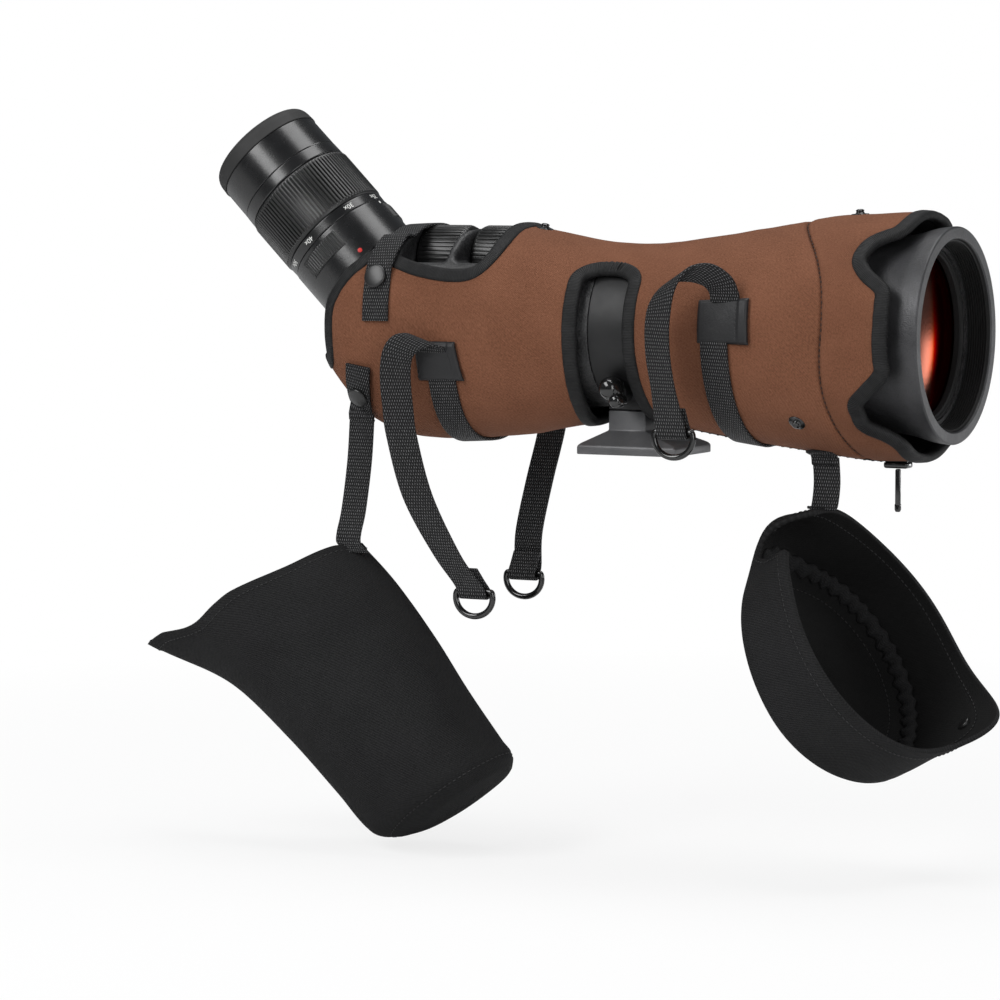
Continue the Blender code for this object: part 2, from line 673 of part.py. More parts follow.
def build_housing():
    housing = loft("prism_housing", [housing_ring(row[0]) for row in HOUSING], "armour")
    boss = ((2.0, PORT_BOSS_R), (PORT_FACE, PORT_BOSS_R))
    cut(housing, turned("cut_port_boss", boss, None, None, EYE, 32, True), "UNION")
    reach = 90.0
    beyond = (reach, reach, PORT_FACE + reach)
    cut(housing, box("cut_port_face", (-reach, -reach, PORT_FACE), beyond, None, EYE, True))
    bore = ((-2.0, PORT_BORE_R), (PORT_FACE + 5, PORT_BORE_R))
    cut(housing, turned("cut_port_bore", bore, None, None, EYE, 28, True))
    path_low = (LIGHT_PATH_X, -LIGHT_PATH_HALF, AXIS_Z - LIGHT_PATH_DROP)
    path_high = (HOUSING_END_X + 10, LIGHT_PATH_HALF, AXIS_Z + LIGHT_PATH_RISE)
    cut(housing, box("cut_light_path", path_low, path_high, None, WORLD, True))
    for label, (back, front) in (("coarse", COARSE_X), ("fine", FINE_X)):
        well_r = DRUM_R + BAY_GAP
        brim = FOCUS_RISE - BAY_DECK
        turn = math.degrees(math.asin(brim / well_r))
        outline = [(-reach, -reach), (brim, -reach)]
        outline += [polar(well_r, a) for a in angle_steps(-90.0 - turn, 90.0 + turn, 14)]
        outline += [(brim, reach), (-reach, reach)]
        bay = flat("cut_bay_" + label, [outline], back - BAY_GAP, front + BAY_GAP, None, FOCUS, True)
        cut(housing, bay)
    hole = ((SPINDLE_X[0] - FIT, SPINDLE_R + FIT), (HOUSING_END_X + 10, SPINDLE_R + FIT))
    cut(housing, turned("cut_spindle_hole", hole, None, None, FOCUS, 12, True))


def build_prism():
    sides = (-PRISM_HALF, PRISM_HALF)
    loft("roof_prism", [[Vector((x, y, z)) for x, z in PRISM_SIDE] for y in sides], "glass")
    inner = PRISM_HALF + FIT
    wall = inner + CAGE_WALL
    lip = PRISM_FOOT_Z - FIT
    low = lip - CAGE_WALL
    top = CAGE_TOP_Z
    profile = [(-wall, low), (wall, low), (wall, top), (inner, top), (inner, lip), (-inner, lip),
               (-inner, top), (-wall, top)]
    loft("prism_cage", [[Vector((x, y, z)) for y, z in profile] for x in CAGE_X], "satin_alloy")


# Focus drums and the lens they drive
def build_focus():
    bore = circle(SPINDLE_R + FIT, 12)
    for name, (back, front) in (("coarse_drum", COARSE_X), ("fine_drum", FINE_X)):
        flat(name, [ribbed(DRUM_R, DRUM_RIB_DEPTH, DRUM_RIBS), bore], back, front, "rubber", FOCUS)
    spindle = ((SPINDLE_X[0], SPINDLE_R), (SPINDLE_X[1], SPINDLE_R))
    turned("focus_spindle", spindle, None, "steel", FOCUS, 12)
    rod = Frame((0, ROD_Y, AXIS_Z - ROD_DROP), (0, 90))
    rod_ends = ((HOUSING_END_X + 2 * FIT, ROD_R), (ROD_END_X, ROD_R))
    turned("focus_rod", rod_ends, None, "steel", rod, 10)
    lobes = ((180.0, FOCUS_RISE + 4.6, 12.0), (90.0 - 10.5, ROD_Y + 5.0, 12.0))

    def reach(angle):
        for middle, r, half in lobes:
            if abs((angle - middle + 180.0) % 360.0 - 180.0) <= half:
                return r
        return CELL_R
    outline = [polar(reach(6.0 * i), 6.0 * i) for i in range(60)]
    holes = [circle(FOCUS_LENS_R + FIT, 28), circle(SPINDLE_R + FIT, 10, (-FOCUS_RISE, 0.0))]
    holes.append(circle(ROD_R + FIT, 10, (ROD_DROP, ROD_Y)))
    back, front = CELL_X
    flat("focus_cell", [outline] + holes, back, front, "satin_alloy", OPTIC)
    r = FOCUS_LENS_R
    lens = ((back + 1.0, r * 0.97), (back + 1.4, r), (front - 2.0, r), (front - 1.2, r * 0.6),
            (front - 0.9, 0.0))
    turned("focus_lens", lens, None, "glass", OPTIC, 24)


# Eyepiece
def build_eyepiece():
    ring_low, ring_high = PORT_FACE + FIT, BASE_FOOT - FIT
    turned("bayonet_ring", ((ring_low, PORT_BOSS_R - FIT), (ring_high, PORT_BOSS_R - FIT)),
           ((ring_low, PORT_BORE_R), (ring_high, PORT_BORE_R)), "steel", EYE)
    groove_r = BASE_R - PAD_DEPTH
    groove_low, groove_high = PAD_LOW - FIT, PAD_HIGH + FIT
    outer = ((SPIGOT_FOOT, SPIGOT_R), (BASE_FOOT, SPIGOT_R), (BASE_FOOT, BASE_R - 0.5),
             (BASE_FOOT + 0.6, BASE_R), (groove_low, BASE_R), (groove_low, groove_r), (groove_high, groove_r),
             (groove_high, BASE_R), (BASE_TOP, BASE_R), (BASE_TOP, CARRIER_R), (CARRIER_TOP, CARRIER_R))
    eye_seat = EYE_LENS_R + FIT
    inner = ((SPIGOT_FOOT, FIELD_R), (FIELD_TOP, FIELD_R), (FIELD_TOP, EYE_BORE_R), (EYE_SEAT, EYE_BORE_R),
             (EYE_SEAT + 1.0, eye_seat), (CARRIER_TOP, eye_seat))
    turned("eyepiece_base", outer, inner, "black_alloy", EYE, 24)
    outline = []
    for i in range(48):
        angle = 7.5 * i
        on_pad = any(abs((angle - middle + 180.0) % 360.0 - 180.0) < PAD_HALF for middle in PAD_MIDDLES)
        outline.append(polar(BASE_R + 0.2 if on_pad else BASE_R - 0.5, angle))
    flat("eyepiece_grip", [outline, circle(groove_r + FIT, 32)], PAD_LOW, PAD_HIGH, "rubber", EYE)
    edge = FIELD_R - FIT
    low, high = FIELD_TOP - 7.6, FIELD_TOP - 3.8
    field_lens = ((low - 0.8, 0.0), (low, edge), (high, edge), (high + 1.2, 0.0))
    turned("field_lens", field_lens, None, "glass", EYE, 20)
    low, high = EYE_SEAT + 2.4, EYE_SEAT + 5.4
    eye_lens = ((low - 0.8, 0.0), (low, EYE_LENS_R), (high, EYE_LENS_R), (high + 1.8, 0.0))
    turned("eye_lens", eye_lens, None, "glass", EYE, 20)
    bore = CARRIER_R + FIT
    core = GRIP_CORE_R - FIT
    low, high = BASE_TOP + FIT, NUMBER_TOP - FIT
    turned("zoom_ring", ((low, BASE_R - 0.3), (high, BASE_R - 0.1), (high, core), (GRIP_TOP, core)),
           ((low, bore), (GRIP_TOP, bore)), "black_alloy", EYE, 28)
    grip = [ribbed(GRIP_R, GRIP_RIB_DEPTH, GRIP_RIBS), circle(GRIP_CORE_R, 32)]
    flat("zoom_grip", grip, NUMBER_TOP, GRIP_TOP, "rubber", EYE)
    low = GRIP_TOP + FIT
    turned("eyepiece_collar", ((low, BASE_R - 0.2), (RING_TOP, SLEEVE_R + 0.2)),
           ((low, bore), (RING_TOP, bore)), "black_alloy", EYE)
    sleeve_in = SLEEVE_R - SLEEVE_WALL
    cam_r = sleeve_in - FIT
    low, high = RING_TOP + FIT, CARRIER_TOP - 0.5
    turned("eyecup_cam", ((low, cam_r), (high, cam_r)), ((low, bore), (high, bore)), "satin_alloy", EYE, 28)
    lid, lid_r = CARRIER_TOP + FIT, EYECUP_HOLE_R + 2.0
    turned("eyecup_sleeve", ((low, SLEEVE_R), (SLEEVE_TOP, SLEEVE_R)),
           ((low, sleeve_in), (lid, sleeve_in), (lid, lid_r), (SLEEVE_TOP, lid_r)), "black_alloy", EYE, 28)
    low, shoulder = SLEEVE_TOP + FIT, EYECUP_TOP - 3.0
    cup = ((low, SLEEVE_R + 0.3), (shoulder, SLEEVE_R - 0.4), (EYECUP_TOP - 0.8, SLEEVE_R - 1.6),
           (EYECUP_TOP, SLEEVE_R - 3.6))
    hole = ((low, EYECUP_HOLE_R), (shoulder, EYECUP_HOLE_R + 1.0), (EYECUP_TOP - 0.6, EYECUP_HOLE_R + 4.0))
    turned("eyecup_rubber", cup, hole, "rubber", EYE, 28)
    cell_r = EYE_BORE_R - FIT
    low, high = ZOOM_CELL
    zoom_bore = ZOOM_LENS_R + FIT
    turned("zoom_cell", ((low, cell_r), (high, cell_r)), ((low, zoom_bore), (high, zoom_bore)),
           "satin_alloy", EYE, 24)
    zoom = ((low + 2.0, 0.0), (low + 3.0, ZOOM_LENS_R), (high - 3.0, ZOOM_LENS_R), (high - 1.6, 0.0))
    turned("zoom_lens", zoom, None, "glass", EYE, 20)


# Tripod collar
def build_collar():
    back, front = COLLAR_X - COLLAR_HALF, COLLAR_X + COLLAR_HALF
    chamfer = 0.6
    outer = ((back, COLLAR_R - chamfer), (back + chamfer, COLLAR_R), (front - chamfer, COLLAR_R),
             (front, COLLAR_R - chamfer))
    bore_r = SEAT_R + FIT
    ring = turned("tripod_collar", outer, ((back, bore_r), (front, bore_r)), "black_alloy", OPTIC, 32)
    boss_top = AXIS_Z - SEAT_R - 1.8
    boss = box("cut_foot_boss", (COLLAR_X - NECK_HALF_X, -NECK_HALF_Y, AXIS_Z - COLLAR_BOSS_DROP),
               (COLLAR_X + NECK_HALF_X, NECK_HALF_Y, boss_top), None, WORLD, True)
    saddle = turned("cut_foot_saddle", ((back - 1, bore_r), (front + 1, bore_r)), None, None, OPTIC, 32, True)
    knob_inner = -KNOB_Y[1]
    boss_ends = ((KNOB_ROOT, KNOB_BOSS_R), (knob_inner - FIT, KNOB_BOSS_R))
    knob_boss = turned("cut_knob_boss", boss_ends, None, None, KNOB, 20, True)
    cut(cut(cut(ring, boss, "UNION"), knob_boss, "UNION"), saddle)
    hole_r = KNOB_STEM_R + FIT
    hole = ((KNOB_ROOT - 2.0, hole_r), (knob_inner + 6.7, hole_r))
    cut(ring, turned("cut_knob_hole", hole, None, None, KNOB, 12, True))
    neck_top = AXIS_Z - COLLAR_BOSS_DROP - FIT
    bevel = 1.2
    plate, neck = (0.0, PLATE_HALF_X, PLATE_HALF_Y), (COLLAR_X, NECK_HALF_X, NECK_HALF_Y)
    brow = (0.0, PLATE_HALF_X - bevel, PLATE_HALF_Y - bevel)
    rings = []
    for z, (x, half_x, half_y) in ((0.0, plate), (PLATE_EDGE, plate), (PLATE_EDGE + bevel, brow),
                                   (NECK_FOOT_Z, neck), (neck_top, neck)):
        corners = ((-1, -1), (1, -1), (1, 1), (-1, 1))
        rings.append([Vector((x + sx * half_x, sy * half_y, z)) for sx, sy in corners])
    foot = loft("tripod_foot", rings, "foot_grey")
    at = Frame((SCREW_X, 0.0, 0.0))
    below, above = -5.0, 40.0
    head_r, shank_r = SCREW_HEAD_R + FIT, SCREW_R + FIT
    path = ((below, head_r), (SCREW_HEAD_Z, head_r), (SCREW_HEAD_Z, shank_r), (above, shank_r))
    shank = turned("cut_screw", path, None, None, at, 16, True)
    cut(foot, shank)
    cut(ring, shank)
    head_low, socket_r, tip = 1.2, 2.0, AXIS_Z - SEAT_R - 1.4
    head_high, socket = SCREW_HEAD_Z - FIT, head_low + 2.4
    screw = ((socket, 0.0), (socket, socket_r), (head_low, socket_r), (head_low, SCREW_HEAD_R),
             (head_high, SCREW_HEAD_R), (head_high, SCREW_R), (tip, SCREW_R))
    turned("foot_screw", screw, None, "steel", at, 16)
    bush = Frame((BUSH_X, 0.0, 0.0))
    well = ((below, BUSH_R + FIT), (BUSH_DEPTH + FIT, BUSH_R + FIT))
    cut(foot, turned("cut_bush", well, None, None, bush, 20, True))
    turned("thread_bush", ((FIT, BUSH_R), (BUSH_DEPTH, BUSH_R)),
           ((FIT, BUSH_THREAD_R), (BUSH_DEPTH, BUSH_THREAD_R)), "brass", bush, 20)
    stop_hole = ((below, STOP_HOLE_R), (STOP_HOLE_DEPTH, STOP_HOLE_R))
    cut(foot, turned("cut_stop_hole", stop_hole, None, None, Frame((STOP_HOLE_X, 0.0, 0.0)), 12, True))
    rehome(foot, OPTIC.origin)
    cap = -KNOB_Y[0]
    knob = ((KNOB_ROOT + 1.0, KNOB_STEM_R), (knob_inner, KNOB_STEM_R), (knob_inner, KNOB_R - 1.0),
            (knob_inner + 1.5, KNOB_R), (cap - 2.5, KNOB_R - 0.4), (cap - 0.6, KNOB_R - 2.4), (cap, 0.0))
    turned("lock_knob", knob, None, "lacquer", KNOB, 24)


# Cover
def cover_shell(name, back_of, front_of, xs, count, finish):
    """A tube of the cover's section between two edges that may vary round it."""
    rings = []
    for sink, order in ((0.0, xs), (COVER_THICK, list(reversed(xs)))):
        for t in order:
            ring = []
            for i in range(count):
                a = 360.0 * i / count
                x = back_of(a) + (front_of(a) - back_of(a)) * t
                ring.append(skin(COVER, x, a, sink))
            rings.append(ring)
    return loft(name, rings, finish, closed=True)


def window_cutter():
    edge = window_outline()
    half = len(edge) // 2
    inside, outside = 8.0, -6.0
    rings = []
    for (x0, a), (x1, _) in zip(reversed(edge[:half]), edge[half:]):
        rings.append([skin(COVER, x0, a, inside), skin(COVER, x1, a, inside), skin(COVER, x1, a, outside),
                      skin(COVER, x0, a, outside)])
    return loft("cut_window", rings, None, cutter=True)


def top_cutter():
    edge = list(TOP_EDGE) + [(TOP_EDGE[0][0], TOP_EDGE[-1][1])]
    reach = 80.0
    sides = [[Vector((x, y, AXIS_Z + z)) for x, z in edge] for y in (-reach, reach)]
    return loft("cut_top", sides, None, cutter=True)


def mitre(before, here, after, offset):
    """Step from a corner of an outline to the corner of the outline `offset` to its left."""
    first = (here - before).normalized()
    second = (after - here).normalized()
    left = Vector((-first.y - second.y, first.x + second.x)).normalized()
    return left * (offset / max(left.dot(Vector((-first.y, first.x))), 0.5))


def top_binding_path():
    """Middle line of the binding on the top opening: one side, then its mirror image."""
    first, last = TOP_BINDING_SPAN
    edge = [Vector(p) for p in TOP_EDGE]
    offset = BINDING_R + BINDING_GAP
    side = []
    for i in range(first, last + 1):
        x, height = edge[i] + mitre(edge[i - 1], edge[i], edge[i + 1], offset)
        side.append(skin(COVER, x, side_angle(COVER, x, height, BINDING_SINK), BINDING_SINK))
    front_x = TOP_EDGE[last][0] - offset
    start = side_angle(COVER, front_x, TOP_EDGE[last][1], BINDING_SINK)
    side += [skin(COVER, front_x, a, BINDING_SINK) for a in angle_steps(start, 90.0, 4)[1:]]
    height = TOP_EDGE[first][1] + offset
    back = COVER[0][0]
    rear = [Vector((back - 2.4, 0.0, AXIS_Z + height))]
    for x in (back + 0.3, back + 4.5):
        rear.append(skin(COVER, x, side_angle(COVER, x, height, BINDING_SINK), BINDING_SINK))
    mirror = [Vector((p.x, -p.y, p.z)) for p in reversed(rear[1:] + side[:-1])]
    return rear + side + mirror


def unrolled(points, offset, radius):
    """Moves a closed line of (X, angle) on the cover to its left by offset, in the unrolled sheet."""
    def step(a, b):
        turn = (b[1] - a[1] + 180.0) % 360.0 - 180.0
        return Vector((b[0] - a[0], math.radians(turn) * radius))
    out = []
    for i, here in enumerate(points):
        before, after = step(points[i - 1], here), step(here, points[(i + 1) % len(points)])
        move = mitre(-before, Vector((0.0, 0.0)), after, offset)
        out.append((here[0] + move.x, here[1] + math.degrees(move.y / radius)))
    return out


def window_outline():
    """Edge of the collar window as (X, angle): up the back edge, over the near top, down the front."""
    near = [WINDOW_TOP - drop for drop in (0.25, 1.4, 4.2, 8.5, 15.0, 30.0, 46.0, 64.0, 84.0, 104.0, 124.0)]
    far = [-180.0 - a for a in reversed(near)]
    back, front = [], []
    for a in near + [-90.0] + far:
        low, high = window_edges(a if a >= -90.0 else -180.0 - a)
        back.append((low, a))
        front.append((high, a))
    return list(reversed(back)) + front


def build_cover():
    back = COVER[0][0]
    xs = [(x - back) / (SEAM_SIDE_X - back) for x in REAR_PANEL_X]
    rear = cover_shell("jacket_rear", lambda a: back, lambda a: seam_edge(a) - SEAM_GAP, xs, 28, "neoprene")
    cut(rear, top_cutter())
    cut(rear, window_cutter())
    cover_shell("jacket_front", seam_edge, front_edge, [0.0, 0.3, 0.65, 1.0], 48, "neoprene")
    tube("top_binding", top_binding_path(), BINDING_R, "black_cloth")
    offset = -BINDING_R - BINDING_GAP
    window = unrolled(window_outline(), offset, COVER_WAIST_R)
    tube("window_binding", [skin(COVER, x, a, BINDING_SINK) for x, a in window], BINDING_R, "black_cloth")
    front = unrolled([(front_edge(a), a) for a in FRONT_ANGLES], offset, COVER_FRONT_R)
    tube("front_binding", [skin(COVER, x, a, BINDING_SINK) for x, a in front], BINDING_R, "black_cloth")


# Straps and tabs sewn to the cover
def build_webbing():
    top = FIT + WEB_THICK
    rings = []
    for a in angle_steps(2.0, 178.0, 22):
        rise = abs(a - 90.0)
        lift = NECK_CROSSING if 34.0 < rise < 66.0 else (0.0 if rise >= 66.0 else -NECK_SAG)
        rings += wrap(NECK_STRAP_X, [a], FIT + lift, top + lift)
    loft("neck_strap", rings, "webbing")
    rings = []
    half, inner = HOOD_STRAP_WIDTH / 2, 2.5
    for a in angle_steps(HOOD_TAB_START, HOOD_TAB_END, 5):
        x = HOOD_TAB_X + HOOD_TAB_LEAN * (a - HOOD_TAB_END)
        rings += wrap((x - half, x - inner, x + inner, x + half), [a], FIT + 0.4, top + 0.4)
    loft("hood_tab", rings, "webbing")
    loft("rear_band", wrap(REAR_BAND_X, angle_steps(-23.5, -156.5, 14), FIT, top), "webbing")
    loft("front_band", wrap(FRONT_BAND_X, angle_steps(-5.0, -175.0, 16), FIT, top), "webbing")
    low, high = FIT + 0.2, FIT + 0.2 + TAB_THICK
    tabs = (("rear_tab", REAR_TAB_X, -4.0, -22.5), ("front_tab", FRONT_TAB_X, 20.0, -4.0))
    for name, (x0, x1), a0, a1 in tabs:
        xs = (x0, (x0 + x1) / 2, x1)
        loft(name + "_near", wrap(xs, angle_steps(a0, a1, 4), low, high), "leather")
        loft(name + "_far", wrap(xs, angle_steps(180.0 - a0, 180.0 - a1, 4), low, high), "leather")


def end_loop(bar, turn):
    """Knots of a strap's end: round the ring's bar and a little way back up, behind itself."""
    r = RING_WIRE_R + RING_LOOP_GAP + WEB_THICK / 2
    route = ((-r, 4.0), (-r, 0.0), (0.0, -r), (r, 0.0), (r, 5.0), (r, 11.0))
    x, y, z = bar
    return [((x, y + out * turn, z + rise), ACROSS) for out, rise in route]


FRONT_STRAP_Y = SHOULDER_R + 8.6    # rings of the front straps, beside the cover
STRAP_ENDS = {
    "rear_near": (-67.5, -48.0, -66.0),
    "rear_far": (-88.0, 46.0, -66.0),
    "front_near": (43.0, -FRONT_STRAP_Y, 15.0),
    "front_far": (43.0, FRONT_STRAP_Y, 15.0),
}
ACROSS = (1.0, 0.0, 0.0)


def front_knot(x, out, z, across=ACROSS):
    """A knot of the near front strap, out from the line of its ring."""
    return (x, -FRONT_STRAP_Y - out, z), across


STRAP_KNOTS = {
    "rear_near": [((-101.9, -47.8, 48.0), (0.3, 0.0, 1.0)), ((-105.5, -50.6, 46.5), (0.75, 0.0, 0.75)),
                  ((-106.8, -52.5, 39.0), (1.0, 0.0, 0.3)), ((-106.4, -52.6, 25.0), ACROSS),
                  ((-104.8, -51.6, 8.0), ACROSS), ((-96.8, -50.6, -21.0), ACROSS),
                  ((-81.5, -50.4, -48.0), ACROSS)],
    "rear_far": [((-76.1, 48.4, 48.0), (0.3, 0.0, -1.0)), ((-73.4, 51.6, 46.0), (0.75, 0.0, -0.75)),
                 ((-72.8, 53.2, 38.0), (1.0, 0.0, -0.3)), ((-73.0, 52.6, 22.0), ACROSS),
                 ((-74.5, 49.5, 5.0), ACROSS), ((-79.0, 45.0, -20.0), ACROSS),
                 ((-84.0, 43.7, -45.0), ACROSS)],
    "front_near": [front_knot(65.0, -8.5, 79.5), front_knot(63.0, -3.5, 86.0, (0.95, 0.0, 0.3)),
                   front_knot(56.0, 0.5, 91.0, (0.8, 0.0, 0.6)), front_knot(46.5, 2.5, 89.5, (0.8, 0.0, 0.6)),
                   front_knot(38.7, 3.0, 80.0, (0.95, 0.0, 0.3)), front_knot(35.6, 3.0, 66.0),
                   front_knot(36.0, 2.5, 50.0), front_knot(38.8, 2.3, 34.0)],
}
STRAP_KNOTS["front_far"] = [((p[0], -p[1], p[2]), w) for p, w in STRAP_KNOTS["front_near"]]


def d_ring(name, bar):
    """A wire ring: a straight bar in the strap's loop and a half-round below it."""
    half = RING_BAR / 2
    shoulder, wide = -3.0, half + 0.4
    points = [(half, 0.0), (wide, shoulder)]
    for a in angle_steps(22.5, 157.5, 6):
        x, drop = polar(1.0, a)
        points.append((wide * x, shoulder - (RING_DROP + shoulder) * drop))
    points += [(-wide, shoulder), (-half, 0.0)]
    tube(name, [Vector(bar) + Vector((x, 0.0, z)) for x, z in points], RING_WIRE_R, "lacquer", bar)


def build_carry_straps():
    for side, bar in STRAP_ENDS.items():
        turn = 1.0 if bar[1] < 0 else -1.0
        ribbon("strap_" + side, STRAP_KNOTS[side] + end_loop(bar, turn), "webbing")
        d_ring("d_ring_" + side, bar)


def build_zip():
    z = AXIS_Z - station(COVER, SLIDER_X)[1]
    low = z - SLIDER_LOW
    half_x, half_y = SLIDER_LONG / 2, SLIDER_WIDE / 2
    corner = (SLIDER_X + half_x, half_y, z - FIT)
    slider = box("zip_slider", (SLIDER_X - half_x, -half_y, low), corner, "lacquer")
    bevel = slider.modifiers.new("edge", "BEVEL")
    bevel.width = 0.6 * MM
    bevel.segments = 1
    pivot = Vector((SLIDER_X, 0.0, low - FIT - 1.4))
    right = [(1.1, 1.3), (1.5, 0.0), (1.2, -6.0), (1.5, -9.0), (1.5, -PULL_LENGTH + 1.5), (0.8, -PULL_LENGTH)]
    outline = right + [(-x, z) for x, z in reversed(right)]
    half = PULL_THICK / 2
    sides = [[pivot + Vector((x, y, z)) for x, z in outline] for y in (-half, half)]
    pull = loft("zip_pull", sides, "lacquer")
    rehome(pull, pivot)


# Hoods
def hood_shell(name, rings_of):
    """A sock with one open end: outer rings from the mouth in, then the inner rings back out."""
    bm = bmesh.new()
    outer, inner = rings_of(0.0), rings_of(HOOD_WALL)
    rows = ring_faces(bm, list(reversed(outer)) + inner)
    bm.faces.new(rows[0])
    bm.faces.new(rows[-1])
    bmesh.ops.recalc_face_normals(bm, faces=bm.faces)
    return mesh_object(name, bm, "black_cloth")


def ellipse_ring(centre, first, second, a, b, count):
    """A ring of points round a centre, with half axes a along `first` and b along `second`."""
    return [centre + first * u + second * v * (b / a) for u, v in circle(a, count)]


def build_eyepiece_hood():
    fall = math.radians(EYE_HOOD_FALL)
    axis = Vector((math.cos(fall), 0.0, -math.sin(fall)))
    across = Vector((math.sin(fall), 0.0, math.cos(fall)))
    depth = Vector((0.0, 1.0, 0.0))
    pivot = skin(COVER, HOOD_TAB_X, HOOD_TAB_END - 4.0, -FIT - WEB_THICK - 2.4)
    mouth = Vector((EYE_HOOD_MOUTH[0], pivot.y, EYE_HOOD_MOUTH[1]))

    def rings(wall):
        out = []
        for d, slant, half, middle, deep in EYE_HOOD_SECTIONS:
            back = wall if d == EYE_HOOD_SECTIONS[-1][0] else 0.0
            centre = mouth + axis * (d - back) + across * middle
            out.append(ellipse_ring(centre, across + axis * slant, depth, half - wall, deep - wall, 24))
        return out
    rehome(hood_shell("eyepiece_hood", rings), pivot)
    _, lean, half_width, _, _ = EYE_HOOD_SECTIONS[0]
    lip = mouth + (across + axis * lean) * half_width
    route = [pivot + Vector((0.0, 0.0, -0.4)), pivot + Vector((-1.5, 0.0, -22.0)),
             pivot + Vector((-4.0, 0.0, -46.0)), Vector((lip.x - 5.0, pivot.y, lip.z + 4.0))]
    knots = [(p, ACROSS) for p in route]
    rehome(ribbon("eyepiece_hood_strap", knots, "webbing", HOOD_STRAP_WIDTH, 3), pivot)


def build_objective_hood():
    tilt, yaw = math.radians(OBJ_HOOD_TILT), math.radians(OBJ_HOOD_YAW)
    face = Vector((math.cos(tilt) * math.cos(yaw), -math.cos(tilt) * math.sin(yaw), math.sin(tilt)))
    side = Vector((math.sin(yaw), math.cos(yaw), 0.0))
    up = face.cross(side)
    centre = Vector(OBJ_HOOD_MIDDLE)
    pivot = Vector(OBJ_HOOD_TOP)

    def lobe(degrees):
        """How far the rim reaches out at an angle from its top, where it has two tongues."""
        from_top = (degrees + 180.0) % 360.0 - 180.0
        from_low = (degrees - OBJ_HOOD_LOW_TURN + 180.0) % 360.0 - 180.0
        high = math.exp(-(from_top / OBJ_HOOD_TOP_SPAN) ** 2) * OBJ_HOOD_TOP_LOBE
        low = math.exp(-(from_low / OBJ_HOOD_LOW_SPAN) ** 2) * OBJ_HOOD_LOW_LOBE
        return face * (0.6 * high + low) + up * (0.9 * high - 0.4 * low)

    def rings(wall):
        out = []
        for depth, grow, reach in ((0.0, 0.0, 1.0), (10.0, 0.4, 0.35), (24.0, 0.4, 0.0), (34.0, -1.5, 0.0),
                                   (OBJ_HOOD_DEPTH, -7.0, 0.0)):
            back = wall if depth == OBJ_HOOD_DEPTH else 0.0
            r = OBJ_HOOD_R + grow - wall
            ring = ellipse_ring(centre - face * (depth - back), up, side, r * 1.03, r, HOOD_STEPS)
            out.append([p + lobe(360.0 * i / HOOD_STEPS) * reach for i, p in enumerate(ring)])
        return out
    rehome(hood_shell("objective_hood", rings), pivot)
    rim_top = rings(0.0)[0][0]
    end = rim_top + Vector((-1.5, 0.0, 1.6))
    end.y = pivot.y + (end.y - pivot.y) * 0.8
    route = [pivot + Vector((0.0, 0.0, -0.8)), pivot.lerp(end, 0.5) + Vector((0.6, 0.0, 0.0)), end]
    knots = [(p, ACROSS) for p in route]
    rehome(ribbon("objective_hood_strap", knots, "webbing", HOOD_STRAP_WIDTH, 4), pivot)


build_barrels()
build_objective()
build_sunshade()
build_housing()
build_prism()
build_focus()
build_eyepiece()
build_collar()
build_cover()
build_webbing()
build_carry_straps()
build_zip()
build_eyepiece_hood()
build_objective_hood()
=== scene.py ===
"""Looks of a spotting scope in its fitted cover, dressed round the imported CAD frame.

Lengths are in millimetres and angles in degrees; MM turns a finished mesh into metres.
The frame: origin on the base of the tripod foot, +X towards the objective, +Z up, camera on the -Y side.
"""
import json
from math import asin, copysign, cos, exp, pi, radians, sin, sqrt
from math import degrees as in_degrees
import bpy
import bmesh
from mathutils import Matrix, Vector, noise


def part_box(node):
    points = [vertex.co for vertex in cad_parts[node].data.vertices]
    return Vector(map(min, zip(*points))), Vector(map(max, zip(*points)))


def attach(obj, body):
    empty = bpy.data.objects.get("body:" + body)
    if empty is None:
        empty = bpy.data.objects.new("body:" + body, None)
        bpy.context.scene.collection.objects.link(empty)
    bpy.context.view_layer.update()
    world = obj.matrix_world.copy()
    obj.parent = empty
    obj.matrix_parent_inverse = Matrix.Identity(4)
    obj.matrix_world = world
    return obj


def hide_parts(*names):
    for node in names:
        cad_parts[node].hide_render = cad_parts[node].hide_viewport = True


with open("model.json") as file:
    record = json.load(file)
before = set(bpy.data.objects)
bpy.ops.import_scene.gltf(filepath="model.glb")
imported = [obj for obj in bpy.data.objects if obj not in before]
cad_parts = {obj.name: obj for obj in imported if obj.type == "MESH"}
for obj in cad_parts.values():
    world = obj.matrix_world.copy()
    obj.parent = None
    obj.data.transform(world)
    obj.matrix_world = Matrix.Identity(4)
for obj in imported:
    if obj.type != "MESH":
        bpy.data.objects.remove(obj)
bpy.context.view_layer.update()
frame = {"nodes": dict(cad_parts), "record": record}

MM = 0.001
FULL_TURN = 2 * pi

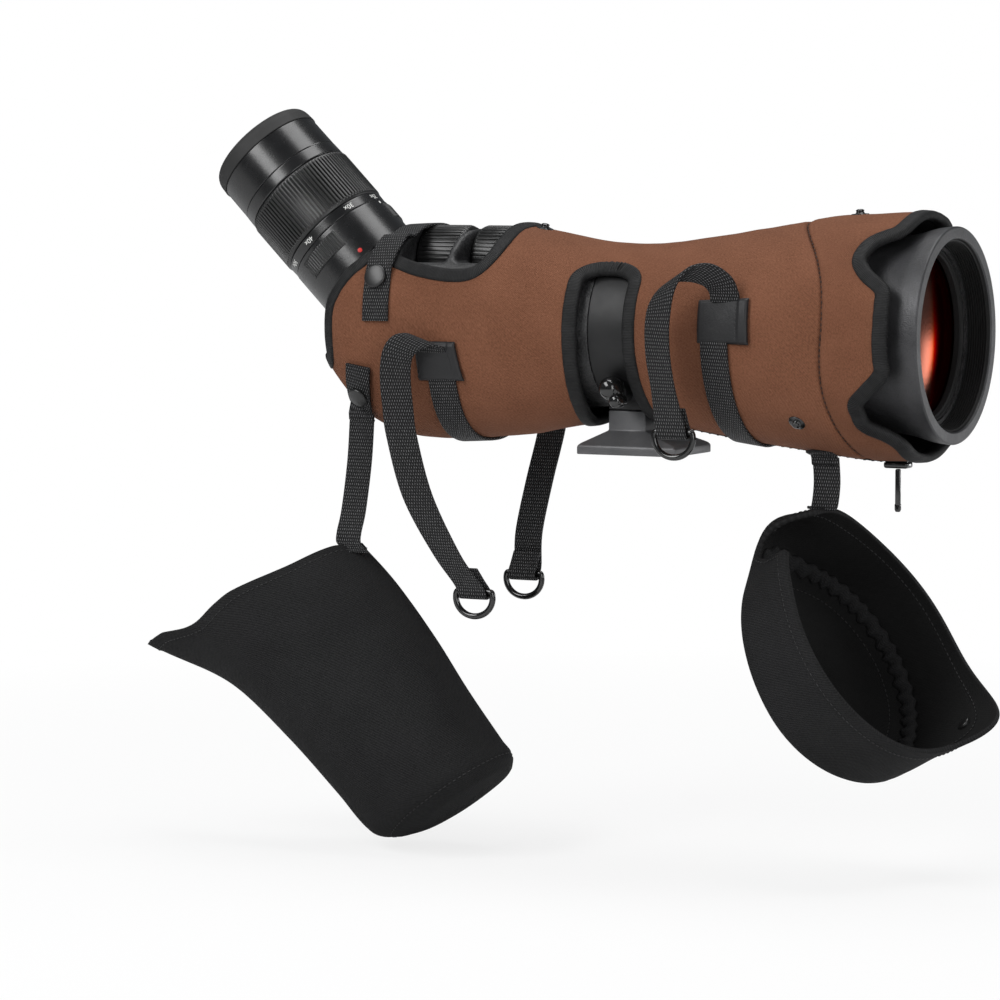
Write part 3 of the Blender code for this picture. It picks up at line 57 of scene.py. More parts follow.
# Layout shared with the part's source
AXIS_Z = 60
EYE_MEET_X = -125.3
FOCUS_RISE = 32
COLLAR_X = -2.5
KNOB_X = -0.5
KNOB_DROP = 29
COVER_THICK = 3
COVER_WAIST = 41
COVER = (                  # X, up, down and half width of the cover's outer face
    (-163, 22, 22.5, 26.5), (-159.2, 30, 26, 33), (-154, 36, 31.8, 38.6),
    (-148.2, 41.5, 38.6, 41.6), (-141, 47, 46.4, 44), (-128, 50, 53, 44.4),
    (-110, 51, 55.7, 44.4), (-85, 51, 54.9, 44.9), (-66, 50.8, 53.3, 46.4),
    (-58, 48.6, 52.4, 47.4), (-40, 45.4, 48.8, 45.5),
    (-20, COVER_WAIST + 1.2, COVER_WAIST + 5.2, COVER_WAIST + 2.2),
    (0, COVER_WAIST, COVER_WAIST + 4.2, COVER_WAIST + 1.2),
    (20, COVER_WAIST + 1.2, COVER_WAIST + 5.6, COVER_WAIST + 2.4),
    (40, 45.1, 49.6, 46.5), (60, 48.5, 52.5, 49.8), (80, 51.5, 54.8, 52.8),
    (100, 55, 57.2, 55.6), (120, 56.5, 59.2, 57.2), (140, 57.6, 59.2, 57.6),
    (156, 57, 58, 56.6),
)
COVER_WAIST_R = COVER_WAIST + 2
COVER_FRONT_R = 57.5
BOXY_X = (-66, -30)
BOXY_POWER = 2.4
SEAM_SIDE_X = 117
SEAM_TOP_X = 88
SEAM_DRIFT = (             # degrees round the side, and the drift of the seam there
    (-90, 3), (-60, 1), (-42, -1.2), (-25, -2.8), (-10, -2.4), (10, -0.5), (28, 2.2), (45, 3.2),
    (70, 1.6), (90, 0),
)
NOTCH_DEPTH = 15
NOTCH_UP = 42
NOTCH_DOWN = -36
NOTCH_FLAT = 5
NOTCH_FLANK = 17
FRONT_EDGE_X = 144
WINDOW_TOP = 49.5
WINDOW_ROUND = 15
WINDOW_BACK_X = -21
WINDOW_FRONT_X = 12.6
WINDOW_SPREAD = 6
WINDOW_DROPS = (0.25, 1.4, 4.2, 8.5, 15, 30, 46, 64, 84, 104, 124)
TOP_EDGE = (               # X and height above the axis of the top opening, seen from the side
    (-190, -19.5), (-155, -19.5), (-152, -17.5), (-150.8, -12), (-150.8, 4),
    (-149, 12), (-144, 20), (-137, 27.5), (-128, 33.5), (-121, 33.5),
    (-114, 30), (-103, 27), (-89, 24.8), (-76, 24.8), (-67, 28.5),
    (-61.5, 36), (-59.5, 44), (-59.5, 60),
)
BINDING_OFFSET = 2.5       # middle of the binding, from the cut edge into the opening
CLOTH_REACH = 2.6          # the cloth runs on under the binding by this
WEB_WIDTH = 15
WEB_THICK = 1.4
RING_WIRE_R = 1.5
RING_LOOP_R = 3
RING_BAR = 19
RING_DROP = 12
ACROSS = (1, 0, 0)
BACKWARD = (-1, 0, 0)
FACING = (-0.9, -0.4, 0)
TURNED = (0.95, -0.3, 0)
STRAP_ENDS = {
    "rear_near": (-67.5, -48, -66),
    "rear_far": (-88, 46, -66),
    "front_near": (43, -59, 15),
    "front_far": (43, 59, 15),
}
STRAP_KNOTS = {            # point and width direction down each carrying strap
    "rear_near": [((-91, -46.4, 49), BACKWARD), ((-92, -48.6, 53), (-0.97, 0, 0.25)),
                  ((-95.5, -52, 54.8), (-0.9, -0.2, 0.4)), ((-100.5, -54.4, 53.6), (-0.84, -0.3, 0.45)),
                  ((-104.6, -55.4, 49.2), (-0.86, -0.4, 0.3)), ((-106.4, -55.3, 42.4), (-0.89, -0.45, 0.1)),
                  ((-106.8, -54.6, 33), FACING), ((-106.2, -53.4, 22), FACING), ((-104.8, -52.2, 8), FACING),
                  ((-96.8, -50.8, -21), FACING), ((-81.5, -50.4, -48), BACKWARD)],
    "rear_far": [((-87, 46.8, 49), ACROSS), ((-86, 48.8, 53), (0.97, 0, 0.25)),
                 ((-82.5, 52.2, 54.6), (0.9, 0.2, 0.4)), ((-77.5, 54.3, 53.4), (0.84, 0.3, 0.45)),
                 ((-73.8, 55.2, 49), (0.86, 0.4, 0.3)), ((-72.3, 54.9, 42.4), (0.9, 0.4, 0.1)),
                 ((-72.4, 53.8, 33), ACROSS), ((-73, 52.4, 22), ACROSS), ((-74.5, 49.5, 5), ACROSS),
                 ((-79, 45, -20), ACROSS), ((-84, 43.7, -45), ACROSS)],
    "front_near": [((65, -50, 76), ACROSS), ((65, -51.5, 80.5), ACROSS),
                   ((63, -55.5, 86), (0.95, 0, 0.3)), ((56, -59.5, 89.6), (0.8, -0.1, 0.55)),
                   ((46.5, -61.5, 88), (0.8, -0.2, 0.5)), ((38.9, -62, 79.5), (0.9, -0.3, 0.3)),
                   ((35.8, -62, 66), TURNED), ((36, -61.5, 50), TURNED), ((38.8, -61.3, 34), TURNED)],
}
STRAP_KNOTS["front_far"] = [((p[0], -p[1], p[2]), (w[0], -w[1], w[2])) for p, w in STRAP_KNOTS["front_near"]]
HOOD_TAB_X = -138
HOOD_TAB_START = -17
HOOD_TAB_END = -50
HOOD_TAB_LEAN = 0.15
HOOD_STRAP_WIDTH = 13.5
EYE_HOOD_MOUTH = (-198, -74)
EYE_HOOD_FALL = 40.8
EYE_HOOD_SECTIONS = (      # distance down the sock, slant, half width, middle, half depth
    (0, 0.48, 58.5, 0, 20), (35, 0.34, 50, 6.5, 28), (75, 0.22, 45, 5, 33),
    (110, 0.18, 41.5, 0.5, 34.5), (136, 0.2, 39.5, -2.5, 34), (145, 0.21, 36, 0, 31),
    (151, 0.22, 28, 3, 24.5),
)
EYE_HOOD_WAVE = (          # place across the mouth, and how far its edge is cut back there
    (-1, 0), (-0.87, 0.6), (-0.5, 4), (-0.2, -1.2), (0, -4), (0.5, -4.2), (0.87, -5), (1, -1),
)
EYE_HOOD_BEAK = 4          # the lower tip runs on by this
EYE_HOOD_SEAM = 144.5
OBJ_HOOD_TOP = (99, -9, 0.6)
OBJ_HOOD_MIDDLE = (129, -14.12, -82)
OBJ_HOOD_R = 58
OBJ_HOOD_DEPTH = 38
OBJ_HOOD_TILT = 31.5
OBJ_HOOD_YAW = 11.2
OBJ_HOOD_SECTIONS = (      # depth, growth of the radius, share of the rim's tongues
    (0, 0, 1), (10, 0.4, 0.35), (24, 0.4, 0), (34, -1.5, 0), (OBJ_HOOD_DEPTH, -7, 0),
)
OBJ_HOOD_NOTCH = (         # degrees from the top of the rim, and how far it is cut back there
    (-43, 0), (-40, 0.8), (-36.5, 8), (-33, 16), (-28, 22), (-23, 24), (-18, 18), (-12, 6),
    (-7, 0.6), (-4, 0),
)
OBJ_HOOD_ARCH = 13         # swell of the wall above the strap's end
OBJ_HOOD_CORNER = 4        # flare of the rim beside the notch
OBJ_HOOD_BELLY = 4.5       # the lower near side hangs deeper by this
HOOD_WALL = 2.4
HOOD_HEM = 0.5
HOOD_STITCH = (2.8, 2, 0.3)  # pitch, length and thickness


# Materials
class Finish:
    """A material with its Principled shader, and short calls that add and join its nodes."""

    def __init__(self, name, roughness=0.5, metallic=0, **sockets):
        self.material = bpy.data.materials.new(name)
        self.material.use_nodes = True
        self.tree = self.material.node_tree
        self.shader = self.tree.nodes["Principled BSDF"]
        self.shader.inputs["Roughness"].default_value = roughness
        self.shader.inputs["Metallic"].default_value = metallic
        for name, value in sockets.items():
            self.shader.inputs[name.replace("_", " ")].default_value = value

    def add(self, kind, inputs, **settings):
        node = self.tree.nodes.new("ShaderNode" + kind)
        for name, value in settings.items():
            setattr(node, name, value)
        for name, value in inputs.items():
            self.join(value, node.inputs[name])
        return node

    def join(self, value, socket):
        if isinstance(value, bpy.types.NodeSocket):
            self.tree.links.new(value, socket)
        else:
            socket.default_value = value

    def coords(self, kind="Object", scale=(1, 1, 1), turn=0):
        spot = self.add("TexCoord", {}).outputs[kind]
        turns = (0, 0, radians(turn))
        return self.add("Mapping", {"Vector": spot, "Scale": scale, "Rotation": turns}).outputs["Vector"]

    def noise(self, vector, scale, detail=3, roughness=0.6):
        sockets = {"Vector": vector, "Scale": scale, "Detail": detail, "Roughness": roughness}
        return self.add("TexNoise", sockets).outputs["Fac"]

    def bands(self, vector, pitch, direction="X", distortion=0):
        """Bands along an axis of a map in millimetres."""
        sockets = {"Vector": vector, "Scale": FULL_TURN / (20 * pitch), "Distortion": distortion}
        return self.add("TexWave", sockets, bands_direction=direction).outputs["Fac"]

    def ramp(self, value, *stops):
        node = self.add("ValToRGB", {"Fac": value})
        elements = node.color_ramp.elements
        while len(elements) < len(stops):
            elements.new(0.5)
        for element, (place, colour) in zip(elements, stops):
            element.position = place
            element.color = (*colour, 1)
        return node.outputs["Color"]

    def range(self, value, low, high):
        return self.add("MapRange", {"Value": value, "To Min": low, "To Max": high}).outputs["Result"]

    def sum(self, first, second, operation="ADD"):
        return self.add("Math", {0: first, 1: second}, operation=operation).outputs["Value"]

    def colour(self, value):
        self.join(value, self.shader.inputs["Base Color"])

    def rough(self, value):
        self.join(value, self.shader.inputs["Roughness"])

    def relief(self, *layers):
        """Bumps one over the other: (height, depth in millimetres, strength)."""
        normal = None
        for height, depth, strength in layers:
            sockets = {"Height": height, "Distance": depth * MM, "Strength": strength}
            if normal:
                sockets["Normal"] = normal
            normal = self.add("Bump", sockets).outputs["Normal"]
        self.join(normal, self.shader.inputs["Normal"])


def grainy(name, dark, light, roughness, grain, depth, metallic=0, fleck=0.15, **sockets):
    """A moulded or anodised surface: mottled shade, uneven gloss and a fine grain of so many per metre."""
    finish = Finish(name, roughness, metallic, **sockets)
    spot = finish.coords()
    pits = finish.noise(spot, grain, 2)
    cloud = finish.sum(finish.noise(spot, 60, 4), finish.range(pits, -fleck, fleck))
    finish.colour(finish.ramp(cloud, (0.3, dark), (0.72, light)))
    finish.rough(finish.range(finish.noise(spot, 160), roughness - 0.07, roughness + 0.07))
    finish.relief((pits, depth, 0.6))
    return finish.material


def knitted(name, dark, light, pitch, depth, roughness=0.88, turn=35, **sockets):
    """Laminated cloth on a UV map in millimetres: a fine knit in slanting rows with worn patches."""
    finish = Finish(name, roughness, Specular_IOR_Level=0.15, **sockets)
    cloth = finish.coords("UV")
    slanted = finish.coords("UV", turn=turn)
    rows = finish.bands(slanted, pitch, "X", 0.8)
    loops = finish.bands(slanted, pitch * 1.7, "Y", 1.2)
    patch = finish.noise(cloth, 0.035, 5)
    fleck = finish.noise(cloth, 0.95, 3, 0.75)
    blend = finish.sum(finish.range(patch, 0, 0.4), finish.range(fleck, -0.2, 0.8))
    shade = finish.sum(blend, finish.range(rows, -0.14, 0.14))
    finish.colour(finish.ramp(shade, (0.2, dark), (0.8, light)))
    finish.relief((finish.noise(cloth, 0.06, 3), 0.5, 0.5), (rows, depth, 0.7), (loops, depth * 0.7, 0.5),
                  (fleck, depth, 0.5))
    return finish.material


def woven(name, dark, light, row, pick):
    """Webbing on a UV map in millimetres: staggered rows of raised picks, painted lighter as glints where they would
    catch the light.
    """
    finish = Finish(name, 0.6, Specular_IOR_Level=0.25)
    cloth = finish.coords("UV")
    diagonal = finish.coords("UV", (0.5 / row, 1 / pick, 1), 45)
    one, other = (finish.bands(diagonal, sqrt(0.5), way, 0.12) for way in "XY")
    picks = finish.sum(one, other, "MULTIPLY")
    painted_glints = finish.sum(picks, finish.range(finish.noise(cloth, 0.6, 2), 0.55, 1.35), "MULTIPLY")
    # painted glints: the picks are painted light on the black webbing
    finish.colour(finish.ramp(painted_glints, (0.42, dark), (0.9, light)))
    finish.relief((finish.bands(cloth, row, "X"), 0.2, 0.5), (picks, 0.4, 0.9))
    return finish.material


def ribbed_tape(name, dark, light, pitch):
    """Grosgrain binding on a UV map in millimetres: cross ribs, creases and a dull sheen, with painted shade and
    highlight following the ribs and creases in the colour.
    """
    finish = Finish(name, 0.62, Specular_IOR_Level=0.25)
    cloth = finish.coords("UV")
    ribs = finish.bands(cloth, pitch, "X", 0.2)
    crease = finish.noise(finish.coords("UV", (0.22, 0.1, 1)), 1, 4)
    # painted shade and highlight: the colour is lighter and darker along the ribs and creases of the relief
    finish.colour(finish.ramp(finish.sum(crease, finish.range(ribs, -0.25, 0.25)), (0.2, dark), (0.85, light)))
    finish.relief((crease, 0.9, 0.6), (ribs, 0.2, 0.8))
    return finish.material


def coated_glass():
    """The objective's front glass: its coating gives back a little light, and its colour is a painted reflection that
    runs pale to red to dark across the glass, where the lamp's glow is reflected.
    """
    finish = Finish("coated_glass", 0.2, 1, Specular_Tint=(0.8, 0.25, 0.18, 1))
    spot = finish.coords()
    side = finish.add("SeparateXYZ", {"Vector": spot}).outputs["Y"]
    share = finish.add("MapRange", {"Value": side, "From Min": -0.002, "From Max": 0.012}).outputs["Result"]
    cloud = finish.sum(share, finish.range(finish.noise(spot, 60, 3), -0.08, 0.08))
    # painted reflection: pale to red to dark across the glass by Y, set where the glow's reflection falls
    finish.colour(finish.ramp(cloud, (0.05, (0.17, 0.145, 0.135)), (0.42, (0.19, 0.118, 0.104)),
                              (0.70, (0.20, 0.013, 0.010)), (1, (0.03, 0.003, 0.002))))
    finish.rough(finish.range(finish.noise(spot, 18), 0.17, 0.22))
    return finish.material


def clear_glass():
    finish = Finish("clear_glass", 0.04, IOR=1.52, Transmission_Weight=1)
    spot = finish.coords()
    finish.colour(finish.ramp(finish.noise(spot, 25), (0.3, (0.80, 0.88, 0.84)), (0.7, (0.88, 0.93, 0.90))))
    return finish.material


FINISHES = {
    "neoprene": knitted("brown_neoprene", (0.100, 0.038, 0.019), (0.228, 0.097, 0.055), 0.62, 0.16,
                        Sheen_Weight=0.03, Sheen_Roughness=0.4, Sheen_Tint=(0.60, 0.36, 0.25, 1)),
    "lining": knitted("black_lining", (0.004, 0.004, 0.004), (0.010, 0.010, 0.010), 0.8, 0.15),
    "tape": ribbed_tape("black_binding", (0.0025, 0.0025, 0.0027), (0.016, 0.016, 0.0165), 0.75),
    # the light colour of the webbing is painted glints on its picks
    "webbing": woven("black_webbing", (0.0045, 0.0045, 0.005), (0.175, 0.175, 0.178), 1.65, 1.2),
    "hood_cloth": knitted("hood_cloth", (0.0065, 0.0065, 0.0068), (0.021, 0.021, 0.0215), 1.2, 0.22, 0.86, 62),
    "leather": grainy("black_leather", (0.009, 0.009, 0.010), (0.017, 0.017, 0.018), 0.5, 900, 0.25,
                      Specular_IOR_Level=0.35),
    "thread": grainy("black_thread", (0.008, 0.008, 0.0085), (0.016, 0.016, 0.0165), 0.6, 3000, 0.1),
    "seam_thread": grainy("brown_thread", (0.018, 0.009, 0.006), (0.040, 0.017, 0.010), 0.7, 3000, 0.1),
    "gloss": grainy("black_anodised", (0.0035, 0.0035, 0.0038), (0.007, 0.007, 0.0075), 0.26, 1500, 0.012,
                    Coat_Weight=0.25, Coat_Roughness=0.22),
    "satin": grainy("satin_alloy", (0.030, 0.030, 0.032), (0.054, 0.054, 0.057), 0.42, 1500, 0.32, 0.3, 0.3),
    "matt": grainy("matt_black", (0.004, 0.004, 0.004), (0.007, 0.007, 0.007), 0.62, 2200, 0.05,
                   Specular_IOR_Level=0.25),
    "barrel_black": grainy("satin_black", (0.007, 0.007, 0.0075), (0.012, 0.012, 0.0125), 0.5, 2000, 0.06,
                           Specular_IOR_Level=0.35),
    "rubber": grainy("black_rubber", (0.006, 0.006, 0.006), (0.013, 0.013, 0.013), 0.36, 2600, 0.05),
    "cup_rubber": grainy("eyecup_rubber", (0.009, 0.009, 0.009), (0.018, 0.018, 0.018), 0.70, 2600, 0.08),
    "armour": grainy("moulded_armour", (0.004, 0.004, 0.0045), (0.034, 0.034, 0.035), 0.46, 1100, 0.6, 0, 0.6),
    "foot": grainy("grey_foot", (0.080, 0.080, 0.083), (0.115, 0.115, 0.119), 0.42, 1900, 0.08, 0.3),
    "lacquer": grainy("black_lacquer", (0.004, 0.004, 0.004), (0.008, 0.008, 0.008), 0.16, 700, 0.02,
                      Coat_Weight=0.4, Coat_Roughness=0.1),
    "stud": grainy("black_stud", (0.007, 0.007, 0.007), (0.013, 0.013, 0.013), 0.34, 900, 0.03),
    "steel": grainy("turned_steel", (0.36, 0.36, 0.37), (0.52, 0.52, 0.53), 0.3, 1800, 0.04, 1),
    "brass": grainy("turned_brass", (0.50, 0.34, 0.12), (0.64, 0.45, 0.18), 0.34, 1800, 0.04, 1),
    "white_print": grainy("white_print", (0.60, 0.60, 0.58), (0.74, 0.74, 0.72), 0.5, 2000, 0.02),
    "red_print": grainy("red_print", (0.52, 0.016, 0.012), (0.64, 0.026, 0.020), 0.45, 2000, 0.02),
    "coated_glass": coated_glass(),
    "glass": clear_glass(),
}
SLOT_FINISH = {"armour": "armour", "black_alloy": "gloss", "satin_alloy": "satin", "foot_grey": "foot",
               "rubber": "rubber", "steel": "steel", "brass": "brass", "glass": "glass", "neoprene": "neoprene",
               "black_cloth": "hood_cloth", "webbing": "webbing", "leather": "leather", "lacquer": "lacquer"}


def paint_cad():
    """Gives every CAD node the procedural finish of its material slot."""
    for row in frame["record"]["subparts"]:
        node = frame["nodes"][row["node"]]
        finish = FINISHES[SLOT_FINISH[row["material_slot"]]]
        for place in node.material_slots:
            place.material = finish


# Small sums
def part_way(value, low, high):
    """How far a value lies on the way from low to high, from 0 to 1."""
    return min(max((value - low) / (high - low), 0), 1)


def step_up(value, low, high):
    """The same with a soft start and end."""
    t = part_way(value, low, high)
    return t * t * (3 - 2 * t)


def bell(value, middle, width):
    """1 at the middle, and soon nothing to either side."""
    return exp(-((value - middle) / width) ** 2)


def wrapped(degrees):
    """The same angle between -180 and 180."""
    return (degrees + 180) % 360 - 180


def folded(degrees):
    """The angle on the near side, between -90 and 90, that mirrors this one."""
    a = wrapped(degrees)
    return a if abs(a) <= 90 else copysign(180 - abs(a), a)


def flutter(*spot):
    """Smooth unevenness at a spot, from -1 to 1."""
    return noise.noise(Vector(spot))


def on_ring(turn, radius, s):
    """A point at a turn and radius round the Z axis, at height s."""
    return Vector((radius * cos(turn), radius * sin(turn), s))


# Pieces
HARD_SHARP = 40            # edges shade round up to this angle
CLOTH_SHARP = 60
STITCH_SHARP = 80


def piece(name, bm, finish, body, slot, *stands_for, sharp=HARD_SHARP, lining=None):
    """Makes a named object of a mesh in millimetres, that rides on a body and may stand for CAD nodes."""
    bmesh.ops.scale(bm, vec=(MM, MM, MM), verts=bm.verts)
    mesh = bpy.data.meshes.new(name)
    bm.to_mesh(mesh)
    bm.free()
    mesh.shade_smooth()
    mesh.set_sharp_from_angle(angle=radians(sharp))
    for layer in (finish, lining):
        if layer:
            mesh.materials.append(FINISHES[layer])
    obj = bpy.data.objects.new(name, mesh)
    bpy.context.scene.collection.objects.link(obj)
    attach(obj, body)
    if stands_for:
        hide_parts(*stands_for)
    return obj


def walled(obj, thickness, lining=False):
    """Gives a sheet its thickness, inwards; the far side may take the second material."""
    wall = obj.modifiers.new("wall", "SOLIDIFY")
    wall.thickness = thickness * MM
    wall.offset = -1
    wall.use_even_offset = True
    if lining:
        wall.material_offset = 1


def laid(across, along, place, size=(1, 1), keep=None, flat=None):
    """A grid of faces laid where place(u, v) says, with a UV map in millimetres: size, or what flat(u, v) says."""
    flat = flat or (lambda u, v: (u * size[0], v * size[1]))
    bm = bmesh.new()
    bmesh.ops.create_grid(bm, x_segments=across, y_segments=along, size=0.5)
    if keep:
        centres = [(face, face.calc_center_median()) for face in bm.faces]
        doomed = [face for face, c in centres if not keep(c.x + 0.5, c.y + 0.5)]
        bmesh.ops.delete(bm, geom=doomed, context="FACES")
    cloth = bm.loops.layers.uv.new("UVMap")
    for face in bm.faces:
        for loop in face.loops:
            spot = loop.vert.co
            loop[cloth].uv = flat(spot.x + 0.5, spot.y + 0.5)
    for vert in bm.verts:
        vert.co = place(vert.co.x + 0.5, vert.co.y + 0.5)
    return bm


def joined(bm, cap=False):
    """Merges the edges that meet, may cap open ends, and turns the faces outwards."""
    bmesh.ops.remove_doubles(bm, verts=bm.verts, dist=0.005)
    if cap:
        bmesh.ops.holes_fill(bm, edges=[edge for edge in bm.edges if edge.is_boundary], sides=0)
    bmesh.ops.recalc_face_normals(bm, faces=bm.faces)
    return bm


LONG_FACE = 2              # a turned face longer than this gets a loop near each end, so it shades straight
EDGE_HOLD = 0.3
FILLET_STEPS = 4
STEPS_PER_RIB = 8
RIB_FLANK = (0.45, 0.75)   # where a rib's flank starts and ends, from its middle to the groove's


def rounded(bm, geom, width, segments, affect="EDGES"):
    """Rounds edges, or corners, by a width."""
    bmesh.ops.bevel(bm, geom=geom, offset=width, offset_type="OFFSET", segments=segments, profile=0.5, affect=affect,
                    clamp_overlap=True, material=-1)


def turned(section, place, steps=96, solid=False):
    """A turned shape: (station, radius, fillet) round its section, spun about the place's Z axis."""
    bm = bmesh.new()
    corners = [(bm.verts.new((r, 0, s)), fillet) for s, r, fillet in section]
    line = [vert for vert, _ in corners]
    for a, b in zip(line, line[1:] + ([] if solid else line[:1])):
        bm.edges.new((a, b))
    for width in sorted({fillet for _, fillet in corners if fillet}):
        rounded(bm, [vert for vert, fillet in corners if fillet == width], width, FILLET_STEPS, "VERTICES")
    for edge in [e for e in bm.edges if e.calc_length() > LONG_FACE]:
        first, last = edge.verts
        ends = [a.co.lerp(b.co, EDGE_HOLD / edge.calc_length()) for a, b in ((first, last), (last, first))]
        held = [first, *(bm.verts.new(end) for end in ends), last]
        bm.edges.remove(edge)
        for a, b in zip(held, held[1:]):
            bm.edges.new((a, b))
    bmesh.ops.spin(bm, geom=bm.verts[:] + bm.edges[:], cent=(0, 0, 0), axis=(0, 0, 1), angle=FULL_TURN,
                   steps=steps, use_merge=True)
    bmesh.ops.remove_doubles(bm, verts=bm.verts, dist=0.002)
    bmesh.ops.recalc_face_normals(bm, faces=bm.faces)
    bmesh.ops.transform(bm, matrix=place, verts=bm.verts)
    return bm


def ribbed(section, ribs, depth, place):
    """A ring with ribs: (station, radius, share of the rib's depth) round its closed section."""
    count = len(section)

    def at(u, v):
        s, r, share = section[round(v * count) % count]
        phase = abs((u * ribs) % 1 - 0.5) * 2
        return place @ on_ring(FULL_TURN * u, r - depth * share * step_up(phase, *RIB_FLANK), s)
    return joined(laid(ribs * STEPS_PER_RIB, count, at))


def added(bm, other):
    """Puts a second mesh into the first."""
    mesh = bpy.data.meshes.new("part")
    other.to_mesh(mesh)
    other.free()
    bm.from_mesh(mesh)
    bpy.data.meshes.remove(mesh)
    return bm


def smooth(points, per_span, loop=False):
    """A curve through points, as a dense list."""
    points = [Vector(p) for p in points]
    last = len(points) - 1
    out = []
    for i in range(last + 1 if loop else last):
        def spot(k):
            return points[k % len(points)] if loop else points[min(max(k, 0), last)]
        before, a, b, after = spot(i - 1), spot(i), spot(i + 1), spot(i + 2)
        for k in range(per_span):
            t = k / per_span
            out.append(0.5 * (2 * a + (b - before) * t + (2 * before - 5 * a + 4 * b - after) * t * t
                              + (3 * a - before - 3 * b + after) * t ** 3))
    return out if loop else out + [points[-1]]


def lengths_along(points):
    """Distance from the first point to each point of a line."""
    gone = [0]
    for a, b in zip(points, points[1:]):
        gone.append(gone[-1] + (b - a).length)
    return gone


def turn_to(axis, side):
    """A turn whose Z runs along axis and whose X lies near side."""
    z = Vector(axis).normalized()
    x = (Vector(side) - z * z.dot(Vector(side))).normalized()
    return Matrix((x, z.cross(x), z)).transposed().to_4x4()


def axle(x, z, degrees, about):
    """A place in the middle plane whose Z axis is turned about X or Y."""
    return Matrix.Translation((x, 0, z)) @ Matrix.Rotation(radians(degrees), 4, about)


OPTIC = axle(0, AXIS_Z, 90, "Y")
FOCUS = axle(0, AXIS_Z + FOCUS_RISE, 90, "Y")
EYE = axle(EYE_MEET_X, AXIS_Z, -45, "Y")
KNOB = axle(KNOB_X, AXIS_Z - KNOB_DROP, 90, "X")


# The cover's surface
def station(table, x):
    """Sizes of a table's section at x, on a smooth curve through its rows."""
    if x <= table[0][0]:
        return table[0][1:]
    if x >= table[-1][0]:
        return table[-1][1:]
    i = max(k for k, row in enumerate(table) if row[0] <= x)
    lo, hi = table[i], table[i + 1]
    before, after = table[max(i - 1, 0)], table[min(i + 2, len(table) - 1)]
    span = hi[0] - lo[0]
    t = (x - lo[0]) / span
    sizes = []
    for k in range(1, len(lo)):
        m0 = (hi[k] - before[k]) / (hi[0] - before[0]) * span
        m1 = (after[k] - lo[k]) / (after[0] - lo[0]) * span
        rise = hi[k] - lo[k]
        sizes.append(lo[k] + m0 * t + (3 * rise - 2 * m0 - m1) * t * t + (m0 + m1 - 2 * rise) * t ** 3)
    return tuple(sizes)


def power(x):
    """How boxy the cover's section is at x: 2 is an ellipse."""
    return BOXY_POWER + (2 - BOXY_POWER) * part_way(x, *BOXY_X)


def skin(x, degrees, lift=0):
    """Point of the cover: 0 degrees is the -Y side, 90 the top; lift goes outwards."""
    up, down, wide = station(COVER, x)
    c, s = cos(radians(degrees)), sin(radians(degrees))
    p = 2 / power(x)
    y = -copysign(abs(c) ** p, c) * (wide + lift)
    z = copysign(abs(s) ** p, s) * ((up if s > 0 else down) + lift)
    return Vector((x, y, AXIS_Z + z))


def skin_normal(x, degrees):
    x = min(max(x, COVER[0][0] + 0.6), COVER[-1][0] - 0.6)
    along = skin(x + 0.5, degrees) - skin(x - 0.5, degrees)
    round_it = skin(x, degrees + 0.5) - skin(x, degrees - 0.5)
    return along.cross(round_it).normalized()


def side_angle(x, height):
    """The angle on the near side at which the cover has this height above the axis."""
    up, down, _ = station(COVER, x)
    share = min(abs(height) / (up if height > 0 else down), 1)
    return in_degrees(copysign(asin(share ** (power(x) / 2)), height))


def front_edge(degrees):
    """X of the cover's front edge, with its notches."""
    a = folded(degrees)
    flank = NOTCH_FLAT + NOTCH_FLANK
    depth = max(1 - step_up(abs(a - middle), NOTCH_FLAT, flank) for middle in (NOTCH_UP, NOTCH_DOWN))
    return FRONT_EDGE_X - NOTCH_DEPTH * depth


def seam(degrees):
    """X of the seam as it is sewn, a little to either side of its line."""
    s = max(sin(radians(degrees)), 0)
    return SEAM_SIDE_X + (SEAM_TOP_X - SEAM_SIDE_X) * s ** 2 + station(SEAM_DRIFT, folded(degrees))[0]


def window_edges(degrees):
    t = max(0, 1 - (WINDOW_TOP - degrees) / WINDOW_ROUND)
    round_in = (WINDOW_FRONT_X - WINDOW_BACK_X) / 2 * (1 - sqrt(1 - t * t))
    spread = WINDOW_SPREAD * part_way(-degrees, 0, 90) ** 2
    return WINDOW_BACK_X + round_in - spread, WINDOW_FRONT_X - round_in + spread


def window_outline():
    near = [WINDOW_TOP - drop for drop in WINDOW_DROPS]
    far = [-180 - a for a in reversed(near)]
    back, front = [], []
    for a in near + [-90] + far:
        low, high = window_edges(a if a >= -90 else -180 - a)
        back.append((low, a))
        front.append((high, a))
    return list(reversed(back)) + front


def mitre(before, here, after, offset):
    first, second = (here - before).normalized(), (after - here).normalized()
    left = Vector((-first.y - second.y, first.x + second.x)).normalized()
    return left * (offset / max(left.dot(Vector((-first.y, first.x))), 0.5))


def unrolled(points, offset, radius):
    """Moves a closed line of (X, angle) on the cover to its left by offset, in the unrolled sheet."""
    def step(a, b):
        return Vector((b[0] - a[0], radians(wrapped(b[1] - a[1])) * radius))
    out = []
    for i, here in enumerate(points):
        before, after = step(points[i - 1], here), step(here, points[(i + 1) % len(points)])
        move = mitre(-before, Vector((0, 0)), after, offset)
        out.append((here[0] + move.x, here[1] + in_degrees(move.y / radius)))
    return out


def depth_inside(outline, x, y):
    """How far a point lies inside a closed outline; negative outside."""
    inside, nearest = False, 1e9
    spot = Vector((x, y))
    for a, b in zip(outline, outline[1:] + outline[:1]):
        if (a.y > y) != (b.y > y) and x < (b.x - a.x) * (y - a.y) / (b.y - a.y) + a.x:
            inside = not inside
        run = b - a
        t = min(max((spot - a).dot(run) / max(run.dot(run), 1e-9), 0), 1)
        nearest = min(nearest, (spot - a - run * t).length)
    return nearest if inside else -nearest


